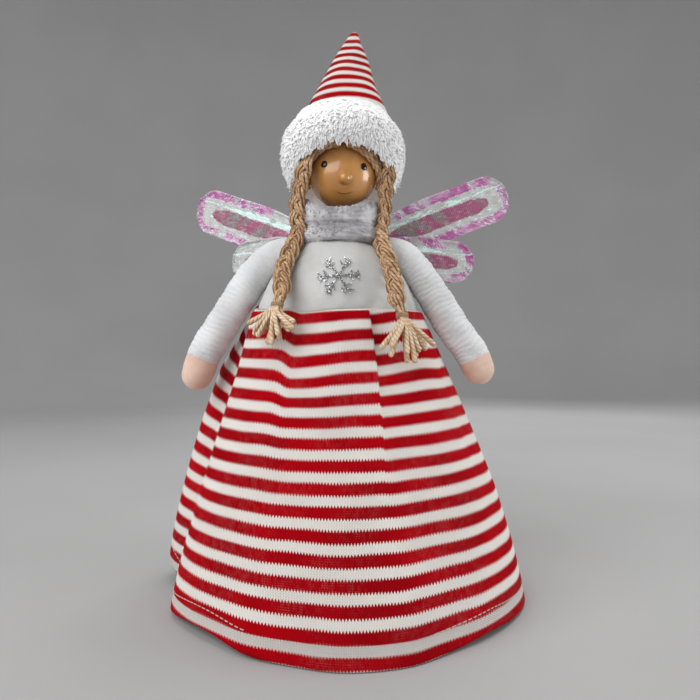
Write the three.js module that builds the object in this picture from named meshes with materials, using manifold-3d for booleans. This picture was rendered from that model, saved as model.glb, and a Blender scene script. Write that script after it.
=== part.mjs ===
// Fairy tree topper: a stuffed doll with a wooden ball head, plaited yarn hair, a striped
// knitted skirt over a card cone, a fur-trimmed hat and two pairs of wire and film wings.
// Millimetres, +Z up. The doll faces -Y, and its own left is +X.

import * as THREE from "three";
import { mergeVertices } from "three/addons/utils/BufferGeometryUtils.js";
import Module from "manifold-3d";

const wasm = await Module();
wasm.setup();

// Fit between pieces that rest on each other
const GAP = 0.3;

// Rolled card cone that slips over the top shoot of the tree
const CONE_BASE_RADIUS = 74;
const CONE_TOP_RADIUS = 15;
const CONE_HEIGHT = 164;
const CONE_WALL = 1.2;
const CONE_LAP_ANGLE = 16;

// Knitted skirt, with its hem turned up and lifted at one fold
const SKIRT_HEIGHT = 149;
const SKIRT_HEM_RADIUS = 88.5;
const SKIRT_BELL = 1.25;
const SKIRT_CLOTH = 1.4;
const HEM_DEPTH = 9;
const HEM_LIFT = 6;
const HEM_LIFT_ANGLE = -108;
const HEM_LIFT_SPREAD = 14;

// Folds of the skirt: degrees from the front toward the doll's left, the spread on either
// side of the crest in degrees, and how far the cloth stands out at the hem and at the waist
const SKIRT_FOLDS = [
  { at: -88, before: 7, after: 6, hem: -6, waist: 0 },
  { at: -110, before: 22, after: 12, hem: 13, waist: 4 },
  { at: -64, before: 12, after: 18, hem: 1.5, waist: 5 },
  { at: -40, before: 9, after: 9, hem: 0, waist: 2.5 },
  { at: 18, before: 24, after: 5, hem: 0.5, waist: 4 },
  { at: 60, before: 14, after: 5, hem: 1, waist: 3 },
  { at: 92, before: 16, after: 16, hem: 3, waist: 1 },
  { at: 134, before: 14, after: 14, hem: 5, waist: 3 },
  { at: 176, before: 16, after: 16, hem: 5, waist: 3 },
  { at: -150, before: 13, after: 13, hem: 5, waist: 3 },
];

// Stuffed body, which leans a little to the doll's right above the waist
const BODY_LEAN = -3;
const TORSO_TUCK = 9;
const TORSO_BASE_RADIUS = 42.8;
const TORSO_TOP = 194;
const TORSO_NECK_RADIUS = 13;
const TORSO_SWELL_HEIGHT = 26;
const TORSO_SHOULDER_RADIUS = 28;
const TORSO_SHOULDER_DROP = 14;
const TORSO_CLOTH = 1.4;
const COLLAR_RADIUS = 19.5;
const COLLAR_BORE_RADIUS = 8;
const COLLAR_DROP = 8;
const COLLAR_OVERLAP = 1;
const COLLAR_ROUND = 3;
const DOWEL_RADIUS = 4;
const DOWEL_SEAT = 4;

// Wooden ball head with its beads and fringe
const HEAD_RADIUS = 18;
const NECK_LENGTH = 11.2;
const HEAD_SHIFT = 2.5;
const DOWEL_BORE_DEPTH = 22;
const BEAD_PROUD = 1 / 3;
const EYE_RADIUS = 1.7;
const EYE_ANGLE = 33;
const EYE_HEIGHT = 7;
const NOSE_RADIUS = 3;
const NOSE_HEIGHT = -18;
const LOCK_RADIUS = 1.7;
const LOCK_SPACING = 11.9;
const LOCK_PARTING = 2;
const LOCK_PART_HEIGHT = 38;
const LOCK_END_HEIGHT = 20;
const LOCK_END_ANGLE = 64;
const LOCK_FALL = 1.4;

// Hat: knitted cone, fur brim and wadding
const BRIM_FRONT_RISE = 12;
const BRIM_BACK_DROP = 19;
const BRIM_INNER_RADIUS = 24.6;
const BRIM_EDGE = 1.6;
const BRIM_PILE = 6.6;
const BRIM_TOP_RISE = 19;
const BRIM_LOW_SWELL = 0.75;
const HAT_TUCK = 6;
const HAT_SEAM_RADIUS = 19.6;
const HAT_HEIGHT = 42;
const HAT_TIP_RADIUS = 2.2;
const HAT_CLOTH = 1.2;
const HAT_LEAN_SIDE = 6;
const HAT_LEAN_BACK = 10;
const HAT_LEAN_CURVE = 1.3;

// Arms: sleeve, wadding and hand
const ARM_ANGLE = 33;
const ARM_FORWARD = 4;
const ARM_LENGTH = 82;
const ARM_SHOULDER_RADIUS = 8;
const ARM_WRIST_RADIUS = 9.4;
const ARM_SWELL = 1.5;
const HAND_RADIUS = 9.8;
const HAND_LENGTH = 20;
const SLEEVE_CLOTH = 1.2;
const SHOULDER_DROP = 8;
const ARM_REST_SPREAD = 10;

// Plaits: three strands, a thread winding and a tassel on each side
const PLAIT_SIDE_SWING = 3.7;
const PLAIT_DEPTH_SWING = 3.3;
const STRAND_RADIUS = 1.7;
const PLAIT_PERIOD = 27;
const PLAIT_STANDOFF = 7.2;
const PLAIT_TOP_RISE = 1.8;
const PLAIT_TOP_ANGLE = 50;
const PLAIT_CHIN_ANGLE = 58;
const PLAIT_SHOULDER_ANGLE = 55;
const PLAIT_CHEST_ANGLE = 40;
const PLAIT_CHEST_DROP = 24;
const PLAIT_BREAST_SHARE = 0.6;
const PLAIT_LAP_SHARE = 0.7;
const PLAIT_LAP_REACH = 0.75;
const PLAIT_WAIST_ANGLE = { left: 34, right: 31 };
const PLAIT_END_ABOVE_WAIST = { left: -1, right: 4 };
const PLAIT_REST_SPREAD = 16;
const TIE_TURNS = 3;
const TIE_THREAD_RADIUS = 0.9;
const TIE_PITCH = 2.3;
const TASSEL_NECK_RADIUS = 3.4;
const TASSEL_SHOULDER_RADIUS = 5;
const TASSEL_LENGTH = 15;
const TASSEL_HALF_WIDTH = 11;
const TASSEL_HALF_DEPTH = 4.6;
const TASSEL_YARNS = 10;
const TASSEL_SHOULDER_FLUTE = 0.12;

// How the tassel opens below its neck: shares of its length and half width, and the depth
// of the grooves between its yarns
const TASSEL_FAN = [
  { drop: 0.3, width: 0.62, flute: 0.2 },
  { drop: 0.8, width: 0.95, flute: 0.3 },
  { drop: 1, width: 1, flute: 0.35 },
];

// Wings: film inside wire loops, bound together on the doll's back
const BINDING_HALF_WIDTH = 6;
const BINDING_THICKNESS = 5;
const BINDING_HEIGHT = 16;
const BINDING_DROP = 11;
const WIRE_RADIUS = 0.6;
const FILM_THICKNESS = 0.4;
const WING_SWEEP = { left: 12, right: 30 };
const WING_LAYER = 2.2;
const WING_SHOULDER = 0.78;
const WING_TAPER = 0.8;
const WIRE_ROOT_TURN = 0.36;
const FILM_ROOT_TURN = 0.8;
const UPPER_WING = { length: 97, width: 27, root: 10.5, lift: { left: 22, right: 15 } };
const LOWER_WING = { length: 73, width: 24, root: 4.5, lift: { left: -4, right: -2 } };

// Colours and surfaces
const MATERIALS = {
  card: { color: 0xd9d2c4, roughness: 0.9, metalness: 0 },
  redKnit: { color: 0xab0c17, roughness: 0.95, metalness: 0 },
  fleece: { color: 0xc4c7c5, roughness: 1, metalness: 0 },
  greyFleece: { color: 0xa09ca0, roughness: 1, metalness: 0 },
  wadding: { color: 0xf2f0ec, roughness: 1, metalness: 0 },
  skin: { color: 0xc8af9e, roughness: 0.95, metalness: 0 },
  wood: { color: 0xb48145, roughness: 0.55, metalness: 0 },
  bead: { color: 0x0a0a0a, roughness: 0.15, metalness: 0 },
  fur: { color: 0xe1e1e1, roughness: 1, metalness: 0 },
  yarn: { color: 0xce9f7d, roughness: 0.95, metalness: 0 },
  thread: { color: 0xd8cbb8, roughness: 0.8, metalness: 0 },
  wire: { color: 0xb9b9bd, roughness: 0.35, metalness: 0.9 },
  film: { color: 0xd0c6dc, roughness: 0.2, metalness: 0.1 },
};

// Facets
const CONE_SEGMENTS = 34;
const LAP_SHARES = [0.02, 0.5, 0.98];
const SKIRT_SEGMENTS = 60;
const BODY_SEGMENTS = 28;
const HAT_SEGMENTS = 32;
const ARM_SEGMENTS = 18;
const ROD_SEGMENTS = 16;
const TUBE_SIDES = 6;
const SIDE_SAMPLES = 120;
const PERIOD_STEPS = 12;
const WIRE_STEPS = 40;
const FILM_STEPS = 30;

// Heights and places that follow from the sizes above
const HEAD_HEIGHT = TORSO_TOP + NECK_LENGTH + HEAD_RADIUS;
const TORSO_BASE = SKIRT_HEIGHT - TORSO_TUCK;
const BRIM_TOP = HEAD_HEIGHT + HEAD_RADIUS + BRIM_TOP_RISE;
const BINDING_BASE = TORSO_TOP - BINDING_DROP;

const rad = THREE.MathUtils.degToRad;
const lerp = THREE.MathUtils.lerp;

// Merges shared vertices, drops empty triangles and turns the faces outward
function closed(geometry) {
  geometry.deleteAttribute("normal");
  geometry.deleteAttribute("uv");
  const merged = mergeVertices(geometry, 1e-4);
  const place = merged.attributes.position;
  const corners = [new THREE.Vector3(), new THREE.Vector3(), new THREE.Vector3()];
  const index = [];
  let volume = 0;
  for (let i = 0; i < merged.index.count; i += 3) {
    const face = [0, 1, 2].map((k) => merged.index.getX(i + k));
    if (new Set(face).size === 3) {
      corners.forEach((corner, k) => corner.fromBufferAttribute(place, face[k]));
      volume += corners[0].dot(corners[1].clone().cross(corners[2]));
      index.push(...face);
    }
  }
  merged.setIndex(volume < 0 ? index.reverse() : index);
  merged.computeVertexNormals();
  return merged;
}

function toSolid(geometry) {
  const vertProperties = Float32Array.from(geometry.attributes.position.array);
  const triVerts = Uint32Array.from(geometry.index.array);
  return new wasm.Manifold(new wasm.Mesh({ numProp: 3, vertProperties, triVerts }));
}

function fromSolid(solid) {
  const mesh = solid.getMesh();
  const geometry = new THREE.BufferGeometry();
  geometry.setAttribute("position", new THREE.BufferAttribute(mesh.vertProperties, 3));
  geometry.setIndex(Array.from(mesh.triVerts));
  return closed(geometry);
}

function cut(geometry, ...tools) {
  const left = tools.reduce((solid, tool) => solid.subtract(toSolid(tool)), toSolid(geometry));
  return fromSolid(left);
}

// Solid of revolution about Z from [radius, height] points
function lathe(profile, segments) {
  const points = profile.map(([radius, height]) => new THREE.Vector2(radius, height));
  return closed(new THREE.LatheGeometry(points, segments).rotateX(Math.PI / 2));
}

// Plain round rod between two heights
function rod(radius, low, high) {
  return lathe([[0, low], [radius, low], [radius, high], [0, high]], ROD_SEGMENTS);
}

// Solid through rings of equal point counts, capped at both ends or joined into a loop
function loft(rings, looped) {
  const count = rings[0].length;
  const points = rings.flat();
  const index = [];
  const spans = looped ? rings.length : rings.length - 1;
  for (let r = 0; r < spans; r += 1) {
    const here = r * count;
    const next = ((r + 1) % rings.length) * count;
    for (let i = 0; i < count; i += 1) {
      const j = (i + 1) % count;
      index.push(here + i, here + j, next + j, here + i, next + j, next + i);
    }
  }
  const cap = (ring, start, reverse) => {
    const middle = points.length;
    const sum = ring.reduce((total, point) => total.add(point), new THREE.Vector3());
    points.push(sum.divideScalar(count));
    for (let i = 0; i < count; i += 1) {
      const edge = [start + i, start + ((i + 1) % count)];
      index.push(middle, ...(reverse ? edge.reverse() : edge));
    }
  };
  if (!looped) {
    cap(rings[0], 0, true);
    cap(rings.at(-1), (rings.length - 1) * count, false);
  }
  const geometry = new THREE.BufferGeometry().setFromPoints(points);
  geometry.setIndex(index);
  return closed(geometry);
}

// Closed tube of a round section along a curve
function tube(curve, radius, steps, sides) {
  const section = new THREE.Shape();
  for (let i = 0; i < sides; i += 1) {
    const turn = (2 * Math.PI * i) / sides;
    const point = [radius * Math.cos(turn), radius * Math.sin(turn)];
    if (i === 0) {
      section.moveTo(...point);
    } else {
      section.lineTo(...point);
    }
  }
  section.closePath();
  const options = { steps, extrudePath: curve, bevelEnabled: false };
  return closed(new THREE.ExtrudeGeometry(section, options));
}

function sideWord(side) {
  return side > 0 ? "left" : "right";
}

function mesh(name, geometry, look) {
  const piece = new THREE.Mesh(geometry, new THREE.MeshStandardMaterial(MATERIALS[look]));
  piece.name = name;
  return piece;
}

// Point at an angle from the front (degrees toward the doll's left), a radius and a height
function around(angle, radius, height) {
  return new THREE.Vector3(radius * Math.sin(rad(angle)), -radius * Math.cos(rad(angle)), height);
}

function bump(angle, at, before, after) {
  const off = ((((angle - at) % 360) + 540) % 360) - 180;
  return Math.exp(-((off / (off < 0 ? before : after)) ** 2));
}

function coneRadius(height) {
  return lerp(CONE_BASE_RADIUS, CONE_TOP_RADIUS, height / CONE_HEIGHT);
}

// Card cone, doubled where its edge laps over
function makeCone() {
  const lap = CONE_LAP_ANGLE / 2;
  const angles = [];
  for (let i = 0; i <= CONE_SEGMENTS; i += 1) {
    const angle = 180 + lap + ((360 - CONE_LAP_ANGLE) * i) / CONE_SEGMENTS;
    angles.push({ angle, layers: 1 });
  }
  for (const share of LAP_SHARES) {
    angles.push({ angle: 180 - lap + CONE_LAP_ANGLE * share, layers: 2 });
  }
  const ring = (height, inner) => angles.map(({ angle, layers }) => {
    const outside = CONE_WALL * (layers - 1);
    return around(angle, coneRadius(height) + (inner ? -CONE_WALL : outside), height);
  });
  const rings = [ring(0, false), ring(CONE_HEIGHT, false), ring(CONE_HEIGHT, true), ring(0, true)];
  return mesh("support_cone", loft(rings, true), "card");
}

// Side of the body from the waist to the neck
const torsoSide = new THREE.CubicBezierCurve(
  new THREE.Vector2(TORSO_BASE_RADIUS, TORSO_BASE),
  new THREE.Vector2(TORSO_BASE_RADIUS, TORSO_BASE + TORSO_SWELL_HEIGHT),
  new THREE.Vector2(TORSO_SHOULDER_RADIUS, TORSO_TOP - TORSO_SHOULDER_DROP),
  new THREE.Vector2(TORSO_NECK_RADIUS, TORSO_TOP),
);

function torsoRadius(height) {
  const points = torsoSide.getPoints(SIDE_SAMPLES);
  const above = points.find((point) => point.y >= height) ?? points.at(-1);
  return above.x;
}

// How far the folds stand out at an angle and at a share of the skirt's height
function foldsAt(angle, share) {
  const folds = SKIRT_FOLDS.map(({ at, before, after, hem, waist }) => {
    const standing = hem * (1 - share) + waist * share * share;
    return standing * bump(angle, at, before, after);
  });
  return folds.reduce((total, fold) => total + fold, 0);
}

// The deepest folds of the waist lie on the body
const skirtAngles = Array.from({ length: SKIRT_SEGMENTS }, (_, i) => (360 * i) / SKIRT_SEGMENTS);
const WAIST_EASE = Math.min(...skirtAngles.map((angle) => foldsAt(angle, 1)));
const SKIRT_WAIST_RADIUS = torsoRadius(SKIRT_HEIGHT) + GAP + SKIRT_CLOTH - WAIST_EASE;

// Outer radius of the skirt at an angle and at a share of its height, 0 at the hem
function skirtRadius(angle, share) {
  return lerp(SKIRT_HEM_RADIUS, SKIRT_WAIST_RADIUS, share ** SKIRT_BELL) + foldsAt(angle, share);
}

// Largest radius of the skirt within a spread of an angle, so that what lies there clears it
function skirtReach(angle, share, spread) {
  const level = Math.min(share, 1);
  const near = [-1, -0.5, 0, 0.5, 1].map((step) => skirtRadius(angle + spread * step, level));
  return Math.max(...near);
}

function makeSkirt() {
  const hemShare = HEM_DEPTH / SKIRT_HEIGHT;
  const shares = [0, hemShare, 0.2, 0.35, 0.5, 0.65, 0.78, 0.9, 1];
  const ring = (share, depth) => {
    return skirtAngles.map((angle) => {
      const lift = HEM_LIFT * bump(angle, HEM_LIFT_ANGLE, HEM_LIFT_SPREAD, HEM_LIFT_SPREAD);
      const height = SKIRT_HEIGHT * share + lift * (1 - share);
      const point = around(angle, skirtRadius(angle, share) - depth, height);
      return point.setX(point.x + BODY_LEAN * share);
    });
  };
  const outside = shares.map((share) => ring(share, 0));
  const inside = shares.slice(1).map((share) => ring(share, SKIRT_CLOTH)).reverse();
  const turnedUp = [ring(hemShare, 2 * SKIRT_CLOTH), ring(0, 2 * SKIRT_CLOTH)];
  return mesh("skirt", loft([...outside, ...inside, ...turnedUp], true), "redKnit");
}

// Side of the body moved outward by a distance, as [radius, height] points
function torsoProfile(offset) {
  const steps = 8;
  const points = [];
  for (let i = 0; i <= steps; i += 1) {
    const point = torsoSide.getPoint(i / steps);
    const along = torsoSide.getTangent(i / steps);
    points.push([point.x + along.y * offset, point.y - along.x * offset]);
  }
  return points;
}

// Solid that fills the body and its clearance, for cutting what rests on it
function torsoTool() {
  const side = torsoProfile(GAP);
  return lathe([[0, side[0][1]], ...side, [0, side.at(-1)[1]]], BODY_SEGMENTS);
}

function makeTorso() {
  const outer = torsoProfile(0);
  const inner = torsoProfile(-TORSO_CLOTH).reverse();
  const cover = lathe([...outer, ...inner, outer[0]], BODY_SEGMENTS);
  const side = torsoProfile(-TORSO_CLOTH - GAP);
  const boreBase = CONE_HEIGHT + DOWEL_SEAT;
  const bore = DOWEL_RADIUS + GAP;
  const solid = [[0, side[0][1]], ...side, [bore, side.at(-1)[1]], [bore, boreBase], [0, boreBase]];
  const recess = lathe([
    [0, TORSO_BASE - TORSO_TUCK],
    [coneRadius(TORSO_BASE - TORSO_TUCK) + CONE_WALL + GAP, TORSO_BASE - TORSO_TUCK],
    [CONE_TOP_RADIUS + CONE_WALL + GAP, CONE_HEIGHT + GAP],
    [0, CONE_HEIGHT + GAP],
  ], BODY_SEGMENTS).translate(-BODY_LEAN, 0, 0);
  const fill = cut(lathe(solid, BODY_SEGMENTS), recess);
  return [mesh("torso_cover", cover, "fleece"), mesh("torso_fill", fill, "wadding")];
}

function headBall(radius) {
  return closed(new THREE.SphereGeometry(radius, 24, 14)).translate(HEAD_SHIFT, 0, HEAD_HEIGHT);
}

function makeNeck() {
  const dowelBase = CONE_HEIGHT + DOWEL_SEAT + GAP;
  const dowelTop = HEAD_HEIGHT - HEAD_RADIUS + DOWEL_BORE_DEPTH - GAP;
  const dowel = rod(DOWEL_RADIUS, dowelBase, dowelTop);
  const low = TORSO_TOP - COLLAR_DROP;
  const high = HEAD_HEIGHT - HEAD_RADIUS + COLLAR_OVERLAP;
  const roll = [0, 30, 60, 90].map((turn) => [
    COLLAR_RADIUS - COLLAR_ROUND * (1 - Math.cos(rad(turn))),
    high - COLLAR_ROUND * (1 - Math.sin(rad(turn))),
  ]);
  const profile = [[COLLAR_BORE_RADIUS, low], [COLLAR_RADIUS, low], ...roll, [COLLAR_BORE_RADIUS, high]];
  const ring = lathe([...profile, profile[0]], BODY_SEGMENTS);
  const collar = cut(ring, torsoTool(), headBall(HEAD_RADIUS + GAP));
  return [mesh("neck_dowel", dowel, "wood"), mesh("collar", collar, "greyFleece")];
}

// Point near the head at an angle from the front, an angle above the middle and a distance
function nearHead(angle, above, distance) {
  const point = around(angle, distance * Math.cos(rad(above)), distance * Math.sin(rad(above)));
  return point.add(new THREE.Vector3(HEAD_SHIFT, 0, HEAD_HEIGHT));
}

function bead(name, radius, angle, above, look) {
  const ball = closed(new THREE.SphereGeometry(radius, 10, 7));
  const centre = nearHead(angle, above, HEAD_RADIUS + radius * BEAD_PROUD);
  return mesh(name, cut(ball.translate(...centre.toArray()), headBall(HEAD_RADIUS + GAP)), look);
}

function makeHead() {
  const boreTop = HEAD_HEIGHT - HEAD_RADIUS + DOWEL_BORE_DEPTH;
  const boreLow = HEAD_HEIGHT - 2 * HEAD_RADIUS;
  const drill = rod(DOWEL_RADIUS + GAP, boreLow, boreTop);
  const pieces = [
    mesh("head", cut(headBall(HEAD_RADIUS), drill), "wood"),
    bead("nose", NOSE_RADIUS, 0, NOSE_HEIGHT, "wood"),
    bead("eye_left", EYE_RADIUS, EYE_ANGLE, EYE_HEIGHT, "bead"),
    bead("eye_right", EYE_RADIUS, -EYE_ANGLE, EYE_HEIGHT, "bead"),
  ];
  for (const side of [1, -1]) {
    for (const row of [0, 1]) {
      const name = `fringe_${sideWord(side)}_${row + 1}`;
      pieces.push(mesh(name, fringeLock(side, row), "yarn"));
    }
  }
  return pieces;
}

// Lock of yarn combed from the parting round to the temple
function fringeLock(side, row) {
  const distance = HEAD_RADIUS + GAP + LOCK_RADIUS;
  const clear = THREE.MathUtils.radToDeg((LOCK_RADIUS + GAP) / distance);
  const start = clear / Math.cos(rad(LOCK_PART_HEIGHT + LOCK_SPACING)) + LOCK_PARTING;
  const points = [];
  const steps = 6;
  for (let i = 0; i <= steps; i += 1) {
    const share = i / steps;
    const fall = lerp(LOCK_PART_HEIGHT, LOCK_END_HEIGHT, share ** LOCK_FALL);
    const angle = side * lerp(start, LOCK_END_ANGLE, share);
    points.push(nearHead(angle, fall + row * LOCK_SPACING, distance));
  }
  return tube(new THREE.CatmullRomCurve3(points), LOCK_RADIUS, 2 * steps, TUBE_SIDES);
}

function hatLean(height) {
  const lean = (Math.max(height - BRIM_TOP, 0) / HAT_HEIGHT) ** HAT_LEAN_CURVE;
  return new THREE.Vector3(HEAD_SHIFT + HAT_LEAN_SIDE * lean, HAT_LEAN_BACK * lean, height);
}

function hatRadius(height) {
  const share = (height - BRIM_TOP) / HAT_HEIGHT;
  return lerp(HAT_SEAM_RADIUS, HAT_TIP_RADIUS, share);
}

function hatRing(height, inset) {
  const points = [];
  for (let i = 0; i < HAT_SEGMENTS; i += 1) {
    const radius = hatRadius(height) - inset;
    points.push(around((360 * i) / HAT_SEGMENTS, radius, 0).add(hatLean(height)));
  }
  return points;
}

function makeHat() {
  const base = BRIM_TOP - HAT_TUCK;
  const tip = BRIM_TOP + HAT_HEIGHT;
  const slope = (HAT_SEAM_RADIUS - HAT_TIP_RADIUS) / HAT_HEIGHT;
  const innerTip = tip - HAT_CLOTH / slope;
  const levels = [0, 0.2, 0.4, 0.6, 0.8, 1].map((share) => lerp(base, innerTip, share));
  const inside = levels.map((height) => hatRing(height, HAT_CLOTH));
  const outside = [...levels, tip].map((height) => hatRing(height, 0)).reverse();
  const point = hatRing(tip + HAT_TIP_RADIUS / 2, HAT_TIP_RADIUS / 2);
  const cone = loft([point, ...outside, ...inside], false);
  const fillRings = levels.slice(0, -1).map((height) => hatRing(height, HAT_CLOTH + 2 * GAP));
  const fillBase = HEAD_HEIGHT + HEAD_RADIUS + GAP;
  const below = fillRings[0].map((corner) => corner.clone().setZ(fillBase));
  const fill = loft([below, ...fillRings], false);
  return [
    mesh("hat_cone", cone, "redKnit"),
    mesh("hat_brim", brimLoft(), "fur"),
    mesh("hat_fill", fill, "wadding"),
  ];
}

// Fur cuff: low at the back, raised over the face, thickest below its middle
function brimLoft() {
  const middle = HEAD_HEIGHT + (BRIM_FRONT_RISE - BRIM_BACK_DROP) / 2;
  const tilt = (BRIM_FRONT_RISE + BRIM_BACK_DROP) / 2;
  const shares = [0, 0.1, 0.25, 0.45, 0.65, 0.85, 1];
  const rings = [];
  const seam = BRIM_TOP - HAT_TUCK;
  const seat = (height) => hatRadius(Math.max(height, seam)) + 2 * GAP;
  for (let i = 0; i < HAT_SEGMENTS; i += 1) {
    const angle = (360 * i) / HAT_SEGMENTS;
    const low = middle + tilt * Math.cos(rad(angle));
    const at = (share, pile) => {
      const height = lerp(low, BRIM_TOP, share);
      const inner = Math.max(lerp(BRIM_INNER_RADIUS, seat(BRIM_TOP), share ** 2), seat(height));
      const point = around(angle, inner + pile, height);
      return point.setX(point.x + HEAD_SHIFT);
    };
    const thickness = (share) => BRIM_EDGE + BRIM_PILE * Math.sin(Math.PI * share ** BRIM_LOW_SWELL);
    const outside = shares.map((share) => at(share, thickness(share)));
    const seamShare = (seam - low) / (BRIM_TOP - low);
    const inside = [1, seamShare, 0.5, 0.2, 0].map((share) => at(share, 0));
    rings.push([...outside, ...inside]);
  }
  return loft(rings, true);
}

// Shoulder centre, placed so that the arm lies along the side of the body and on the waist
function shoulder(side) {
  const height = TORSO_TOP - SHOULDER_DROP;
  const outward = new THREE.Vector2(Math.cos(rad(ARM_ANGLE)), Math.sin(rad(ARM_ANGLE)));
  const down = new THREE.Vector2(outward.y, -outward.x);
  const waist = new THREE.Vector2(skirtReach(side * 90, 1, ARM_REST_SPREAD), SKIRT_HEIGHT);
  const reach = [...torsoSide.getPoints(SIDE_SAMPLES), waist].map((point) => {
    const distance = point.dot(down) - height * down.y;
    return point.dot(outward) + armRadius(distance) + GAP;
  });
  const offset = (Math.max(...reach) - height * outward.y) / outward.x;
  return new THREE.Vector3(side * offset, 0, height);
}

// Outer radius of the arm at a distance below the shoulder centre
function armRadius(distance) {
  const share = THREE.MathUtils.clamp(distance / ARM_LENGTH, 0, 1);
  return lerp(ARM_SHOULDER_RADIUS, ARM_WRIST_RADIUS, share ** ARM_SWELL);
}

// Arm profile from the tip of the shoulder down to the wrist, drawn in by a distance
function armProfile(inset, length) {
  const round = [0, 30, 60].map((turn) => [
    (ARM_SHOULDER_RADIUS - inset) * Math.sin(rad(turn)),
    (ARM_SHOULDER_RADIUS - inset) * Math.cos(rad(turn)),
  ]);
  const straight = [0, 0.35, 0.7, 1].map((share) => (
    [armRadius(length * share) - inset, -length * share]
  ));
  return [...round, ...straight];
}

function makeArm(side) {
  const word = sideWord(side);
  const wrist = ARM_LENGTH - HAND_LENGTH;
  const inner = armProfile(SLEEVE_CLOTH, wrist).reverse();
  const sleeve = lathe([...armProfile(0, wrist), ...inner], ARM_SEGMENTS);
  const fillLength = wrist - GAP;
  const fill = lathe([...armProfile(SLEEVE_CLOTH + GAP, fillLength), [0, -fillLength]], ARM_SEGMENTS);
  const top = wrist + GAP;
  const round = ARM_LENGTH - HAND_RADIUS;
  const tip = [0, 30, 60, 90].map((turn) => [
    HAND_RADIUS * Math.cos(rad(turn)),
    -round - HAND_RADIUS * Math.sin(rad(turn)),
  ]);
  const hand = lathe([[0, -top], [armRadius(top), -top], ...tip], ARM_SEGMENTS);
  const arm = new THREE.Group();
  arm.position.copy(shoulder(side));
  arm.rotation.set(-rad(ARM_FORWARD), -side * rad(ARM_ANGLE), 0, "YXZ");
  arm.add(
    mesh(`sleeve_${word}`, sleeve, "fleece"),
    mesh(`arm_fill_${word}`, fill, "wadding"),
    mesh(`hand_${word}`, hand, "skin"),
  );
  return arm;
}

// Centre line of a plait, from the temple over the chest to the waist
function plaitLine(side) {
  const word = sideWord(side);
  const end = SKIRT_HEIGHT + PLAIT_END_ABOVE_WAIST[word];
  const chest = TORSO_TOP - PLAIT_CHEST_DROP;
  const breast = TORSO_TOP - PLAIT_CHEST_DROP / 2;
  const waistAngle = PLAIT_WAIST_ANGLE[word];
  const breastAngle = lerp(PLAIT_SHOULDER_ANGLE, PLAIT_CHEST_ANGLE, PLAIT_BREAST_SHARE);
  const waistReach = skirtReach(side * waistAngle, end / SKIRT_HEIGHT, PLAIT_REST_SPREAD);
  const lapReach = lerp(torsoRadius(chest), waistReach, PLAIT_LAP_REACH);
  const chestOff = PLAIT_STANDOFF / Math.cos(rad(ARM_ANGLE));
  const stations = [
    [HEAD_HEIGHT + PLAIT_TOP_RISE, PLAIT_TOP_ANGLE, HEAD_RADIUS + PLAIT_STANDOFF],
    [HEAD_HEIGHT - HEAD_RADIUS, PLAIT_CHIN_ANGLE, COLLAR_RADIUS + PLAIT_STANDOFF],
    [TORSO_TOP - COLLAR_DROP / 2, PLAIT_SHOULDER_ANGLE, COLLAR_RADIUS + PLAIT_STANDOFF],
    [breast, breastAngle, torsoRadius(breast) + chestOff],
    [chest, PLAIT_CHEST_ANGLE, torsoRadius(chest) + chestOff],
    [lerp(chest, end, PLAIT_LAP_SHARE), waistAngle, lapReach + chestOff],
    [end, waistAngle, waistReach + PLAIT_STANDOFF],
  ];
  const points = stations.map(([height, angle, radius]) => around(side * angle, radius, height));
  points[0].x += HEAD_SHIFT;
  return new THREE.CatmullRomCurve3(points);
}

// Frame of a plait at a share of its length: along it, outward from the body and sideways
function plaitFrame(line, share) {
  const centre = line.getPointAt(share);
  const along = line.getTangentAt(share);
  const out = new THREE.Vector3(centre.x, centre.y, 0);
  out.addScaledVector(along, -out.dot(along)).normalize();
  const across = new THREE.Vector3().crossVectors(along, out);
  return { centre, along, out, across };
}

// The three strands weave in figures of eight, a third of a period apart
function strandPoints(line, strand, count) {
  const turns = line.getLength() / PLAIT_PERIOD;
  const points = [];
  for (let i = 0; i <= count; i += 1) {
    const { centre, out, across } = plaitFrame(line, i / count);
    const phase = 2 * Math.PI * ((turns * i) / count + strand / 3);
    centre.addScaledVector(across, PLAIT_SIDE_SWING * Math.sin(phase));
    points.push(centre.addScaledVector(out, PLAIT_DEPTH_SWING * Math.sin(2 * phase)));
  }
  return points;
}

function leastDistance(first, second, skip) {
  let least = Infinity;
  first.forEach((a, i) => {
    second.forEach((b, j) => {
      if (Math.abs(i - j) >= skip) {
        least = Math.min(least, a.distanceTo(b));
      }
    });
  });
  return least;
}

// Thread wound round the neck of the tassel, in the tassel's own frame
function tieWinding(top) {
  const steps = PERIOD_STEPS * TIE_TURNS;
  const radius = TASSEL_NECK_RADIUS + GAP + TIE_THREAD_RADIUS;
  const points = [];
  for (let i = 0; i <= steps; i += 1) {
    const turn = (2 * Math.PI * TIE_TURNS * i) / steps;
    const height = top - (TIE_PITCH * TIE_TURNS * i) / steps;
    points.push(new THREE.Vector3(radius * Math.cos(turn), radius * Math.sin(turn), height));
  }
  const gap = leastDistance(points, points, 0.75 * PERIOD_STEPS) - 2 * TIE_THREAD_RADIUS;
  console.log(`least gap between the turns of a tie: ${gap.toFixed(2)} mm`);
  return tube(new THREE.CatmullRomCurve3(points), TIE_THREAD_RADIUS, steps, TUBE_SIDES - 1);
}

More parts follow.
